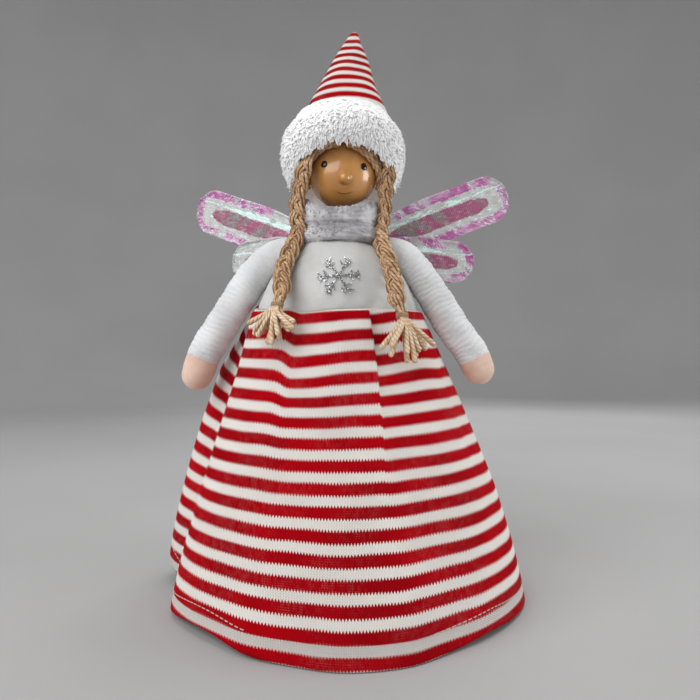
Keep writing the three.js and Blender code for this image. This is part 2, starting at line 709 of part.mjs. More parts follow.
// Tassel: a gathered neck that fans into yarn ends, flat against the skirt
function tasselLoft(neckLength) {
  const sides = 3 * TASSEL_YARNS;
  const ring = (height, width, depth, flute) => {
    const points = [];
    for (let i = 0; i < sides; i += 1) {
      const turn = (2 * Math.PI * i) / sides;
      const lobe = 1 - flute * (i % 3 === 0 ? 1 : 0);
      const spot = [width * lobe * Math.cos(turn), depth * lobe * Math.sin(turn), height];
      points.push(new THREE.Vector3(...spot));
    }
    return points;
  };
  const shoulderDrop = TASSEL_SHOULDER_RADIUS - TASSEL_NECK_RADIUS;
  const neckEnd = -shoulderDrop - neckLength;
  const fan = TASSEL_FAN.map(({ drop, width, flute }) => (
    ring(neckEnd - TASSEL_LENGTH * drop, TASSEL_HALF_WIDTH * width, TASSEL_HALF_DEPTH, flute)
  ));
  return loft([
    ring(0, TASSEL_SHOULDER_RADIUS, TASSEL_SHOULDER_RADIUS, TASSEL_SHOULDER_FLUTE),
    ring(-shoulderDrop, TASSEL_NECK_RADIUS, TASSEL_NECK_RADIUS, 0),
    ring(neckEnd, TASSEL_NECK_RADIUS, TASSEL_NECK_RADIUS, 0),
    ...fan,
  ], false);
}

function makePlait(side) {
  const word = sideWord(side);
  const line = plaitLine(side);
  const count = Math.round((PERIOD_STEPS * line.getLength()) / PLAIT_PERIOD);
  const strands = [0, 1, 2].map((strand) => strandPoints(line, strand, count));
  const fine = [0, 1, 2].map((strand) => strandPoints(line, strand, 8 * count));
  const gap = leastDistance(fine[0], fine[1], 0) - 2 * STRAND_RADIUS;
  console.log(`least gap between the strands of plait_${word}: ${gap.toFixed(2)} mm`);
  const pieces = strands.map((points, strand) => {
    const geometry = tube(new THREE.CatmullRomCurve3(points), STRAND_RADIUS, count, TUBE_SIDES);
    return mesh(`plait_${word}_strand_${strand + 1}`, geometry, "yarn");
  });
  const { centre, out } = plaitFrame(line, 1);
  const angle = side * PLAIT_WAIST_ANGLE[word];
  const fall = around(angle, SKIRT_HEM_RADIUS - SKIRT_WAIST_RADIUS, -SKIRT_HEIGHT).normalize();
  const face = out.clone().addScaledVector(fall, -out.dot(fall)).normalize();
  const across = new THREE.Vector3().crossVectors(face, fall.clone().negate());
  const end = new THREE.Group();
  const basis = new THREE.Matrix4().makeBasis(across, face, fall.clone().negate());
  end.quaternion.setFromRotationMatrix(basis);
  const reaches = strands.map((points) => {
    const last = points.at(-1).clone();
    const tilt = last.clone().sub(points.at(-2)).normalize().cross(fall).length();
    return last.sub(centre).dot(fall) + STRAND_RADIUS * tilt;
  });
  end.position.copy(centre).addScaledVector(fall, Math.max(...reaches) + GAP);
  const wound = TIE_PITCH * TIE_TURNS;
  const neckLength = wound + 2 * (TIE_THREAD_RADIUS + GAP);
  const tieTop = TASSEL_NECK_RADIUS - TASSEL_SHOULDER_RADIUS - TIE_THREAD_RADIUS - GAP;
  end.add(
    mesh(`plait_${word}_tie`, tieWinding(tieTop), "thread"),
    mesh(`plait_${word}_tassel`, tasselLoft(neckLength), "yarn"),
  );
  return [...pieces, end];
}

// Bound wire roots: a pad with round ends about the two fold axes, shaped to the back
function makeBinding(depth) {
  const radius = BINDING_THICKNESS / 2;
  const outline = new THREE.Shape();
  outline.absarc(BINDING_HALF_WIDTH, 0, radius, -Math.PI / 2, Math.PI / 2, false);
  outline.absarc(-BINDING_HALF_WIDTH, 0, radius, Math.PI / 2, (3 * Math.PI) / 2, false);
  const options = { depth: BINDING_HEIGHT, bevelEnabled: false, curveSegments: 10 };
  const pad = new THREE.ExtrudeGeometry(outline, options);
  const placed = closed(pad).translate(0, depth, BINDING_BASE);
  return mesh("wing_binding", cut(placed, torsoTool()), "film");
}

// Wing outline at a turn, from the root round the tip: tapered to the root, blunt at the tip
function wingPoint(wing, turn) {
  const share = (1 - Math.cos(turn)) / 2;
  const taper = Math.sin((Math.PI / 2) * Math.min(share / WING_SHOULDER, 1)) ** WING_TAPER;
  const round = Math.max(share - WING_SHOULDER, 0) / (1 - WING_SHOULDER);
  const half = (wing.width / 2) * taper * Math.sqrt(1 - round ** 2);
  return new THREE.Vector2(wing.length * share, -Math.sign(Math.sin(turn)) * half);
}

// Wing outline moved inward by a distance, between two turns that leave the root open
function wingOutline(wing, start, steps, inset) {
  const points = [];
  const small = 1e-3;
  for (let i = 0; i <= steps; i += 1) {
    const turn = lerp(start, 2 * Math.PI - start, i / steps);
    const along = wingPoint(wing, turn + small).sub(wingPoint(wing, turn - small)).normalize();
    const inward = new THREE.Vector2(-along.y, along.x);
    points.push(wingPoint(wing, turn).addScaledVector(inward, inset));
  }
  return points;
}

// Distance from the fold axis to the root of a wing, so that its wire clears the binding
function wingRoot(side, wing) {
  const lift = rad(wing.lift[sideWord(side)]);
  const root = wingPoint(wing, WIRE_ROOT_TURN);
  const clear = BINDING_THICKNESS / 2 + GAP + WIRE_RADIUS;
  return (clear + Math.abs(root.y * Math.sin(lift))) / Math.cos(lift) - root.x;
}

// Least depth of the fold axes behind the doll's middle at which a wing clears the body
function wingDepth(side, wing, layer) {
  const lift = rad(wing.lift[sideWord(side)]);
  const sweep = rad(WING_SWEEP[sideWord(side)]);
  const base = BINDING_BASE + wing.root;
  const depths = wingOutline(wing, WIRE_ROOT_TURN, FILM_STEPS, 0).map((point) => {
    const along = point.x + wingRoot(side, wing);
    const out = along * Math.cos(lift) - point.y * Math.sin(lift);
    const height = base + along * Math.sin(lift) + point.y * Math.cos(lift);
    const across = BINDING_HALF_WIDTH + out * Math.cos(sweep) - layer * Math.sin(sweep);
    const reach = torsoRadius(height) + WIRE_RADIUS + 2 * GAP;
    const back = Math.sqrt(Math.max(reach ** 2 - across ** 2, 0));
    return back - out * Math.sin(sweep) - layer * Math.cos(sweep);
  });
  return Math.max(...depths);
}

function makeWing(side, name, wing, layer) {
  const word = sideWord(side);
  const lift = rad(wing.lift[word]);
  const rootClear = wingRoot(side, wing);
  const loop = wingOutline(wing, WIRE_ROOT_TURN, FILM_STEPS, 0).map((point) => (
    new THREE.Vector3(side * (point.x + rootClear), layer, point.y)
  ));
  const wire = tube(new THREE.CatmullRomCurve3(loop), WIRE_RADIUS, WIRE_STEPS, TUBE_SIDES - 1);
  const edge = wingOutline(wing, FILM_ROOT_TURN, FILM_STEPS, WIRE_RADIUS + 2 * GAP);
  const sheet = new THREE.Shape(edge.map((point) => (
    new THREE.Vector2(side * (point.x + rootClear), point.y)
  )));
  const film = new THREE.ExtrudeGeometry(sheet, { depth: FILM_THICKNESS, bevelEnabled: false });
  film.rotateX(Math.PI / 2).translate(0, layer + FILM_THICKNESS / 2, 0);
  const holder = new THREE.Group();
  holder.position.z = BINDING_BASE + wing.root;
  holder.rotation.y = -side * lift;
  holder.add(
    mesh(`${name}_${word}_wire`, wire, "wire"),
    mesh(`${name}_${word}_film`, closed(film), "film"),
  );
  return holder;
}

function makeWings(side, depth) {
  const pair = new THREE.Group();
  pair.position.set(side * BINDING_HALF_WIDTH, depth, 0);
  pair.rotation.z = side * rad(WING_SWEEP[sideWord(side)]);
  pair.add(makeWing(side, "upper_wing", UPPER_WING, WING_LAYER / 2));
  pair.add(makeWing(side, "lower_wing", LOWER_WING, -WING_LAYER / 2));
  return pair;
}

// The fold axes lie behind the collar, or further back where the wings need it
const wingPivotDepth = Math.max(
  COLLAR_RADIUS + GAP + BINDING_THICKNESS / 2,
  ...[1, -1].flatMap((side) => [
    wingDepth(side, UPPER_WING, WING_LAYER / 2),
    wingDepth(side, LOWER_WING, -WING_LAYER / 2),
  ]),
);

// The upper body leans as one; the skirt carries the lean from its hem to its waist
const upper = new THREE.Group();
upper.position.x = BODY_LEAN;
upper.add(...makeTorso(), ...makeNeck(), ...makeHead(), ...makeHat(), makeBinding(wingPivotDepth));
for (const side of [1, -1]) {
  upper.add(makeArm(side), ...makePlait(side), makeWings(side, wingPivotDepth));
}

// The origin is the middle of the footprint, on the ground
const doll = new THREE.Group();
doll.add(makeCone(), makeSkirt(), upper);
const box = new THREE.Box3().setFromObject(doll, true);
const middle = box.getCenter(new THREE.Vector3());
doll.position.set(-middle.x, -middle.y, -box.min.z);
doll.name = "fairy_tree_topper";

export default doll;
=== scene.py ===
"""Visual model of a fairy tree topper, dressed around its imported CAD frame.

The doll stands on the hem of its knitted skirt, faces -Y and has its own left at +X. Sizes are in
millimetres about the doll's upright axis until a mesh is made, and in metres after that.
"""

import logging
import math
from collections.abc import Mapping, Sequence
from dataclasses import dataclass, field, replace
from enum import Enum
from typing import Self

import bmesh
import bpy
import numpy as np
from mathutils import Matrix, Vector


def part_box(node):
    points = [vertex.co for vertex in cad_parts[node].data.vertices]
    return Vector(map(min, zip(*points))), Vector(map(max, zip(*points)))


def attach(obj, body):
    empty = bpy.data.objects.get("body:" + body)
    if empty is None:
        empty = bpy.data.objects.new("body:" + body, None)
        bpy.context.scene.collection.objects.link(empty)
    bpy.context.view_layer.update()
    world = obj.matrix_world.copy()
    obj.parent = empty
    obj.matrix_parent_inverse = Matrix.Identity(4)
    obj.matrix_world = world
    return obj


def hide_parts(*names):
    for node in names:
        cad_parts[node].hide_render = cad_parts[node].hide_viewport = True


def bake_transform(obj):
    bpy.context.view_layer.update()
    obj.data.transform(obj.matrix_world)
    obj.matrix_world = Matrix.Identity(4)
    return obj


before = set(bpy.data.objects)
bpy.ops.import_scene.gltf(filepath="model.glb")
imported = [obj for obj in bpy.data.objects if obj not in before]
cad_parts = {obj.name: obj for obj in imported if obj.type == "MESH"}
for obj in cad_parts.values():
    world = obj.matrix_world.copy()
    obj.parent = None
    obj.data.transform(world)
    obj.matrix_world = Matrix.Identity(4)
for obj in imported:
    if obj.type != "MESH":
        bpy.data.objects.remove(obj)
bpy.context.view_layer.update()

LOG = logging.getLogger("fairy_tree_topper")
MM = 0.001
UP = np.array([0.0, 0.0, 1.0])
FRONT = np.array([0.0, -1.0, 0.0])
BACK = np.array([0.0, 1.0, 0.0])
LEVEL = np.array([1.0, 1.0, 0.0])
Array = np.ndarray
Colour = tuple[float, float, float, float]
Triple = tuple[float, float, float]
Pairs = tuple[tuple[float, float], ...]
Piece = bpy.types.Object
Tree = bpy.types.NodeTree


class Side(Enum):
    """The doll's own left, at +X, and right."""

    LEFT = 1
    RIGHT = -1

    @property
    def word(self) -> str:
        """The side's name as the CAD nodes spell it."""
        return self.name.lower()


def sided(left: object, right: object) -> dict[Side, object]:
    """A dataclass field with a value for either side."""
    return field(default_factory=lambda: {Side.LEFT: left, Side.RIGHT: right})


def paint(red: int, green: int, blue: int) -> Colour:
    """Turns a colour as a screen shows it into the renderer's own linear values.

    Args:
        red: Red from 0 to 255.
        green: Green from 0 to 255.
        blue: Blue from 0 to 255.

    Returns:
        The linear colour, opaque.
    """
    shares = [value / 255 for value in (red, green, blue)]
    linear = [s / 12.92 if s <= 0.04045 else ((s + 0.055) / 1.055) ** 2.4 for s in shares]
    return (linear[0], linear[1], linear[2], 1.0)


def mixed(first: float, second: float, share: Array | float) -> Array:
    """Goes from the first value to the second by a share."""
    return first + (second - first) * np.asarray(share, float)


def eased(low: float, high: float, value: Array) -> Array:
    """Rises smoothly from 0 at low to 1 at high."""
    share = np.clip((value - low) / (high - low), 0, 1)
    return share * share * (3 - 2 * share)


def around(angle: Array | float, radius: Array | float, height: Array | float) -> Array:
    """Points about the axis.

    Args:
        angle: Degrees from the front toward the doll's left.
        radius: Distance from the axis.
        height: Height above the ground.

    Returns:
        Points with their coordinates in the last dimension.
    """
    turn = np.radians(angle)
    parts = np.broadcast_arrays(radius * np.sin(turn), -radius * np.cos(turn), height)
    return np.stack(parts, axis=-1)


def circle(steps: int) -> Array:
    """Angles of equal steps round a full turn."""
    return np.linspace(0, 2 * math.pi, steps, endpoint=False)


def angle_from(angle: Array, at: float) -> Array:
    """Degrees past an angle, from -180 to 180."""
    return (angle - at + 540) % 360 - 180


def bump(angle: Array, at: float, before: float, after: float) -> Array:
    """Falls off from 1 at an angle, with its own spread on either side."""
    off = angle_from(angle, at)
    return np.exp(-(off / np.where(off < 0, before, after)) ** 2)


def wound_uv(along: Array, sides: int) -> Array:
    """UVs of a net that wraps around, in turns across and lengths along."""
    return np.stack(np.meshgrid(along, np.linspace(0, 1, sides + 1), indexing="ij")[::-1], -1)


def unit(vectors: Array) -> Array:
    """Vectors of length one along the same directions."""
    size = np.linalg.norm(vectors, axis=-1, keepdims=True)
    return vectors / np.maximum(size, 1e-12)


def spline(stations: Array, steps: int) -> Array:
    """Smooth line through stations, with points an equal distance apart.

    Args:
        stations: Points that the line passes through, in order.
        steps: Number of equal steps along the line.

    Returns:
        steps + 1 points.
    """
    points = np.vstack([2 * stations[0] - stations[1], stations, 2 * stations[-1] - stations[-2]])
    dense = []
    for i in range(1, len(points) - 2):
        p0, p1, p2, p3 = points[i - 1:i + 3]
        t0 = 0.0
        t1 = t0 + math.sqrt(max(np.linalg.norm(p1 - p0), 1e-6))
        t2 = t1 + math.sqrt(max(np.linalg.norm(p2 - p1), 1e-6))
        t3 = t2 + math.sqrt(max(np.linalg.norm(p3 - p2), 1e-6))
        t = np.linspace(t1, t2, 40, endpoint=i == len(points) - 3)[:, None]
        a1 = (t1 - t) / (t1 - t0) * p0 + (t - t0) / (t1 - t0) * p1
        a2 = (t2 - t) / (t2 - t1) * p1 + (t - t1) / (t2 - t1) * p2
        a3 = (t3 - t) / (t3 - t2) * p2 + (t - t2) / (t3 - t2) * p3
        b1 = (t2 - t) / (t2 - t0) * a1 + (t - t0) / (t2 - t0) * a2
        b2 = (t3 - t) / (t3 - t1) * a2 + (t - t1) / (t3 - t1) * a3
        dense.append((t2 - t) / (t2 - t1) * b1 + (t - t1) / (t2 - t1) * b2)
    return resampled(np.vstack(dense), steps)


def line_lengths(points: Array) -> Array:
    """Distance along a line at each of its points."""
    steps = np.linalg.norm(np.diff(points, axis=0), axis=1)
    return np.concatenate([[0.0], np.cumsum(steps)])


def resampled(points: Array, steps: int) -> Array:
    """The same line with points an equal distance apart.

    Args:
        points: Points along the line.
        steps: Number of equal steps.

    Returns:
        steps + 1 points.
    """
    along = line_lengths(points)
    at = np.linspace(0, along[-1], steps + 1)
    return np.stack([np.interp(at, along, points[:, k]) for k in range(3)], axis=1)


def carried_frames(path: Array, first: Array) -> tuple[Array, Array, Array]:
    """Tangents of a path and two cross directions that are carried along it without twist.

    Args:
        path: Points along the path.
        first: A direction that the first cross direction leans to at the start.

    Returns:
        Tangents, first cross directions and second cross directions.
    """
    tangent = unit(np.gradient(path, axis=0))
    normal = np.zeros_like(path)
    before = np.asarray(first, float)
    for i, along in enumerate(tangent):
        before = before - along * before.dot(along)
        before = before / max(np.linalg.norm(before), 1e-9)
        normal[i] = before
    return tangent, normal, np.cross(tangent, normal)


class Shape:
    """Points, faces and corner UVs of one piece while it is built, in millimetres."""

    TUFTS_IN_LOCK = 9
    TUFTS_AT_ONCE = 1000
    OWN_SHADE = 0.22

    def __init__(self) -> None:
        """Starts with nothing."""
        self._points: list[Array] = []
        self._faces: list[Array] = []
        self._uvs: list[Array] = []
        self._soft: list[tuple[int, Array]] = []
        self._count = 0

    def add(self, points: Array, faces: Array, uvs: Array) -> None:
        """Adds points with the faces among them.

        Args:
            points: Coordinates, one row each.
            faces: Indices into these points, three or four for each face.
            uvs: A UV pair for each corner of each face.
        """
        self._points.append(points.reshape(-1, 3))
        self._faces.append(faces + self._count)
        self._uvs.append(uvs)
        self._count += len(self._points[-1])

    def grid(self, points: Array, uv: Array, wrap: bool = True, loop: bool = False,
             uv_right: Array | None = None) -> None:
        """Adds a net of quads.

        Args:
            points: Rows and columns of points.
            uv: UV of each row and column, with one more column where the columns wrap and one more
                row where the rows do.
            wrap: Whether the last column joins the first.
            loop: Whether the last row joins the first.
            uv_right: UV for the right edges of the faces, where a seam parts the cloth.
        """
        rows, cols = points.shape[:2]
        rr, cc = np.meshgrid(np.arange(rows if loop else rows - 1),
                             np.arange(cols if wrap else cols - 1), indexing="ij")
        r2, c2 = (rr + 1) % rows, (cc + 1) % cols
        quads = np.stack([rr * cols + cc, rr * cols + c2, r2 * cols + c2, r2 * cols + cc], -1)
        right = uv[:, 1:] if uv_right is None else uv_right
        corners = np.stack([uv[rr, cc], right[rr, cc], right[rr + 1, cc], uv[rr + 1, cc]], 2)
        self.add(points, quads.reshape(-1, 4), corners.reshape(-1, 4, 2))

    def tube(self, path: Array, radius: Array | float, sides: int, first: Array,
             flat: float = 1.0, round_ends: bool = True) -> None:
        """Adds a closed tube along a path, with UVs in turns around and millimetres along.

        Args:
            path: Points along the middle.
            radius: Radius at each point of the path, or at each point around too, or one for all.
            sides: Points around the tube.
            first: Direction that the first point around leans to.
            flat: How much thinner the tube is in its second cross direction.
            round_ends: Whether the ends are rounded and not cut square.
        """
        radii = np.asarray(radius, float)
        radii = radii if radii.ndim == 2 else np.broadcast_to(radii, (len(path),))[:, None]
        tangent, normal, binormal = carried_frames(path, first)
        centres, sizes = path, radii
        if round_ends:
            ease = np.array([0.35, 0.75, 0.95])
            lead = np.sqrt(1 - ease ** 2)
            head = path[0] - tangent[0] * (lead * radii[0].mean())[:, None]
            tail = path[-1] + tangent[-1] * (lead[::-1] * radii[-1].mean())[:, None]
            centres = np.vstack([head, path, tail])
            sizes = np.concatenate([ease[:, None] * radii[0], radii, ease[::-1, None] * radii[-1]])
            normal, binormal = (np.pad(way, ((3, 3), (0, 0)), mode="edge") for way in (normal, binormal))
        turn = circle(sides)
        out = (np.cos(turn)[None, :, None] * normal[:, None]
               + flat * np.sin(turn)[None, :, None] * binormal[:, None])
        points = centres[:, None] + out * sizes[:, :, None]
        self.closed_grid(points, wound_uv(line_lengths(centres), sides))

    def closed_grid(self, points: Array, uv: Array) -> None:
        """Adds a net that wraps around, with a middle point that closes its first and its last row.

        Args:
            points: Rows and columns of points.
            uv: UV of each row and column, with one more column.
        """
        rows, cols = points.shape[:2]
        base = self._count
        self.grid(points, uv)
        for row in (0, rows - 1):
            index = np.arange(cols)
            faces = np.stack([index + row * cols, (index + 1) % cols + row * cols,
                              np.full(cols, rows * cols + (1 if row else 0))], -1)
            left, right = uv[row, :-1], uv[row, 1:]
            corners = np.stack([left, right, (left + right) / 2], 1)
            self._faces.append(faces + base)
            self._uvs.append(corners)
        self._points.append(np.stack([points[0].mean(0), points[-1].mean(0)]))
        self._count += 2

    def tufts(self, root: Array, out: Array, random: np.random.Generator, length: tuple[float, float],
              width: float, stray: float, lit: Array | None = None) -> None:
        """Adds many small closed tufts of pile, whose tips gather into locks.

        Args:
            root: Where each tuft stands.
            out: The way each tuft points, with its share of the length.
            random: Source of the tufts' variety.
            length: Shortest and longest tuft.
            width: Radius of a tuft near its root.
            stray: How far tips stray from their way.
            lit: The way the surface under each tuft faces, or else the tuft's own way.
        """
        count = len(root)
        reach = random.uniform(*length, count)[:, None]
        tip = root + out * reach + random.normal(0, stray, (count, 3))
        locks = tip[random.choice(count, max(count // self.TUFTS_IN_LOCK, 1), replace=False)]
        for begin in range(0, count, self.TUFTS_AT_ONCE):
            part = slice(begin, begin + self.TUFTS_AT_ONCE)
            gaps = np.linalg.norm(tip[part, None] - locks[None], axis=2)
            near = locks[gaps.argmin(1)]
            close = gaps.min(1, keepdims=True) < length[1] * 0.6
            tip[part] = np.where(close, tip[part] + 0.4 * (near - tip[part]), tip[part])
        bend = root + out * reach * 0.55 + random.normal(0, stray * 0.4, (count, 3))
        t = np.array([0.0, 0.4, 0.75, 0.96])[None, :, None]
        path = (1 - t) ** 2 * root[:, None] + 2 * t * (1 - t) * bend[:, None] + t ** 2 * tip[:, None]
        way = unit(tip - root)
        first = unit(np.cross(way, np.array([0.2, 0.1, 1.0])))
        second = np.cross(way, first)
        turn = circle(4)
        ring = np.cos(turn)[None, :, None] * first[:, None] + np.sin(turn)[None, :, None] * second[:, None]
        taper = width * np.array([1.0, 1.0, 0.72, 0.2])[None, :, None, None]
        thick = taper * random.uniform(0.8, 1.2, (count, 1, 1, 1))
        points = path[:, :, None] + thick * ring[:, None]
        rows, cols = points.shape[1:3]
        rr, cc = np.meshgrid(np.arange(rows - 1), np.arange(cols), indexing="ij")
        c2, low, high = (cc + 1) % cols, rr * cols, (rr + 1) * cols
        side = np.stack([low + cc, low + c2, high + c2, high + cc], -1)
        ends = np.array([np.arange(cols)[::-1], (rows - 1) * cols + np.arange(cols)])
        faces = np.concatenate([side.reshape(-1, 4), ends])
        every = (faces[None] + (np.arange(count) * rows * cols)[:, None, None]).reshape(-1, 4)
        self._soft.append((self._count, np.repeat(out if lit is None else lit, rows * cols, axis=0)))
        self.add(points.reshape(-1, 3), every, np.zeros((len(every), 4, 2)))

    def build(self, name: str, finish: "Finish", offset: Array, smooth: bool = True) -> Piece:
        """Makes the piece's object, with outward faces.

        Args:
            name: Name of the piece.
            finish: Its finish.
            offset: Place of the points' origin in the row frame, in millimetres.
            smooth: Whether the faces are shaded as one curved surface.

        Returns:
            The new object, linked to the scene.
        """
        points = (np.vstack(self._points) + np.asarray(offset, float)) * MM
        mesh = bpy.data.meshes.new(name)
        mesh.from_pydata(points.tolist(), [], [face for faces in self._faces for face in faces.tolist()])
        uvs = np.concatenate([uv.reshape(-1) for uv in self._uvs])
        mesh.uv_layers.new(name="Cloth").data.foreach_set("uv", uvs.astype(np.float32))
        mesh.polygons.foreach_set("use_smooth", np.full(len(mesh.polygons), smooth))
        outward(mesh)
        self._soften(mesh)
        mesh.materials.append(finish.material())
        piece = bpy.data.objects.new(name, mesh)
        bpy.context.scene.collection.objects.link(piece)
        return piece

    def _soften(self, mesh: bpy.types.Mesh) -> None:
        """Shades tufts much as the surface that they stand on, so that pile looks soft.

        Args:
            mesh: The finished mesh.
        """
        if not self._soft:
            return
        normals = np.zeros(len(mesh.vertices) * 3, np.float32)
        mesh.vertices.foreach_get("normal", normals)
        normals = normals.reshape(-1, 3)
        for begin, out in self._soft:
            part = slice(begin, begin + len(out))
            normals[part] = unit(self.OWN_SHADE * normals[part] + unit(out))
        mesh.normals_split_custom_set_from_vertices(normals)


def outward(mesh: bpy.types.Mesh) -> None:
    """Turns the faces of each closed part of a mesh outward.

    Args:
        mesh: The mesh.
    """
    work = bmesh.new()
    work.from_mesh(mesh)
    bmesh.ops.recalc_face_normals(work, faces=work.faces)
    work.to_mesh(mesh)
    work.free()


class Signal:
    """What a node gives out, and the sums that lead on from it."""

    def __init__(self, graph: "Graph", socket: bpy.types.NodeSocket) -> None:
        """Holds one output of a graph's node."""
        self.graph, self.socket = graph, socket

    def math(self, operation: str, other: "Feed" = 0.0) -> Self:
        """Result of one operation on this value and another."""
        return self.graph.math(operation, self, other)

    def __add__(self, other: "Feed") -> Self:
        """This value with another added."""
        return self.math("ADD", other)

    def __sub__(self, other: "Feed") -> Self:
        """This value with another taken away."""
        return self.math("SUBTRACT", other)

    def __rsub__(self, number: float) -> Self:
        """A number with this value taken away."""
        return self.graph.math("SUBTRACT", number, self)

    def __mul__(self, other: "Feed") -> Self:
        """This value times another."""
        return self.math("MULTIPLY", other)

    def __truediv__(self, other: "Feed") -> Self:
        """This value divided by another."""
        return self.math("DIVIDE", other)

    def __pow__(self, power: "Feed") -> Self:
        """This value to a power."""
        return self.math("POWER", power)

    def __abs__(self) -> Self:
        """This value without its sign."""
        return self.math("ABSOLUTE")

    def __lt__(self, other: "Feed") -> Self:
        """1 where this value is below another, else 0."""
        return self.math("LESS_THAN", other)

    def __gt__(self, other: "Feed") -> Self:
        """1 where this value is above another, else 0."""
        return self.math("GREATER_THAN", other)

    def at_least(self, other: "Feed") -> Self:
        """The larger of this value and another."""
        return self.math("MAXIMUM", other)

    def at_most(self, other: "Feed") -> Self:
        """The smaller of this value and another."""
        return self.math("MINIMUM", other)

    def wave(self, length: float) -> Self:
        """Sine of this value, which repeats at a length."""
        return (self * (2 * math.pi / length)).math("SINE")

    def ranged(self, low: float, high: float, start: float = 0.0, end: float = 1.0) -> Self:
        """This value carried smoothly from one range to another."""
        inputs = {0: self, 1: low, 2: high, 3: start, 4: end}
        return self.graph.node("MapRange", inputs, interpolation_type="SMOOTHSTEP")


Feed = float | Sequence[float] | Signal


class Graph:
    """Adds nodes to one node tree and links them."""

    def __init__(self, tree: Tree) -> None:
        """Works on the given tree."""
        self.tree = tree

    def feed(self, socket: bpy.types.NodeSocket, value: Feed) -> None:
        """Links a socket, or sets it where the value is a constant.

        Args:
            socket: The input socket.
            value: A constant or a signal.
        """
        if isinstance(value, Signal):
            self.tree.links.new(value.socket, socket)
        else:
            socket.default_value = value

    def add(self, kind: str, inputs: Mapping[str | int, Feed], **settings: object) -> bpy.types.Node:
        """Adds a node.

        Args:
            kind: The node's type.
            inputs: Constants or signals for its inputs, by name or place.
            **settings: The node's own options.

        Returns:
            The new node.
        """
        made = self.tree.nodes.new(f"ShaderNode{kind}")
        for key, value in settings.items():
            setattr(made, key, value)
        for key, value in inputs.items():
            self.feed(made.inputs[key], value)
        return made

    def node(self, kind: str, inputs: Mapping[str | int, Feed], output: str | int = 0,
             **settings: object) -> Signal:
        """Adds a node, as add does, and takes one of its outputs by name or place."""
        return Signal(self, self.add(kind, inputs, **settings).outputs[output])

    def signals(self, node: bpy.types.Node) -> dict[str, Signal]:
        """All outputs of a node by name."""
        return {socket.name: Signal(self, socket) for socket in node.outputs}

    def math(self, operation: str, first: Feed, second: Feed) -> Signal:
        """Result of one operation on two values."""
        return self.node("Math", {0: first, 1: second}, operation=operation)

    def blend(self, share: Feed, first: Feed, second: Feed) -> Signal:
        """Mix of two colours."""
        return self.node("Mix", {0: share, 6: first, 7: second}, 2, data_type="RGBA")

    def noise(self, vector: Feed, scale: Feed, detail: float = 2.0, rough: float = 0.5) -> Signal:
        """Soft noise between 0 and 1."""
        inputs = {"Vector": vector, "Scale": scale, "Detail": detail, "Roughness": rough}
        return self.node("TexNoise", inputs, "Fac")

    def point(self, x: Feed, y: Feed, z: Feed) -> Signal:
        """Vector from three values."""
        return self.node("CombineXYZ", {0: x, 1: y, 2: z})

    def scaled(self, vector: Feed, scale: Feed) -> Signal:
        """Vector made longer by a value."""
        return self.node("VectorMath", {0: vector, "Scale": scale}, operation="SCALE")

    def relief(self, height: Feed, depth: float, strength: float) -> Signal:
        """Normals of a relief with a depth in millimetres."""
        return self.node("Bump", {"Height": height, "Distance": depth * MM, "Strength": strength}, "Normal")

    def cloth(self) -> tuple[Signal, Signal, Signal]:
        """The cloth coordinates.

        Returns:
            The length across, the length along and both.
        """
        both = self.node("UVMap", {}, "UV", uv_map="Cloth")
        split = self.signals(self.add("SeparateXYZ", {0: both}))
        return split["X"], split["Y"], both

    def place(self) -> Signal:
        """The object's own coordinates, in millimetres."""
        return self.scaled(self.node("TexCoord", {}, "Object"), 1 / MM)

    def shared(self, group: Tree, inputs: Mapping[str, Feed]) -> dict[str, Signal]:
        """Places a shared group with its own values, and gives its outputs by name."""
        return self.signals(self.add("Group", inputs, node_tree=group))


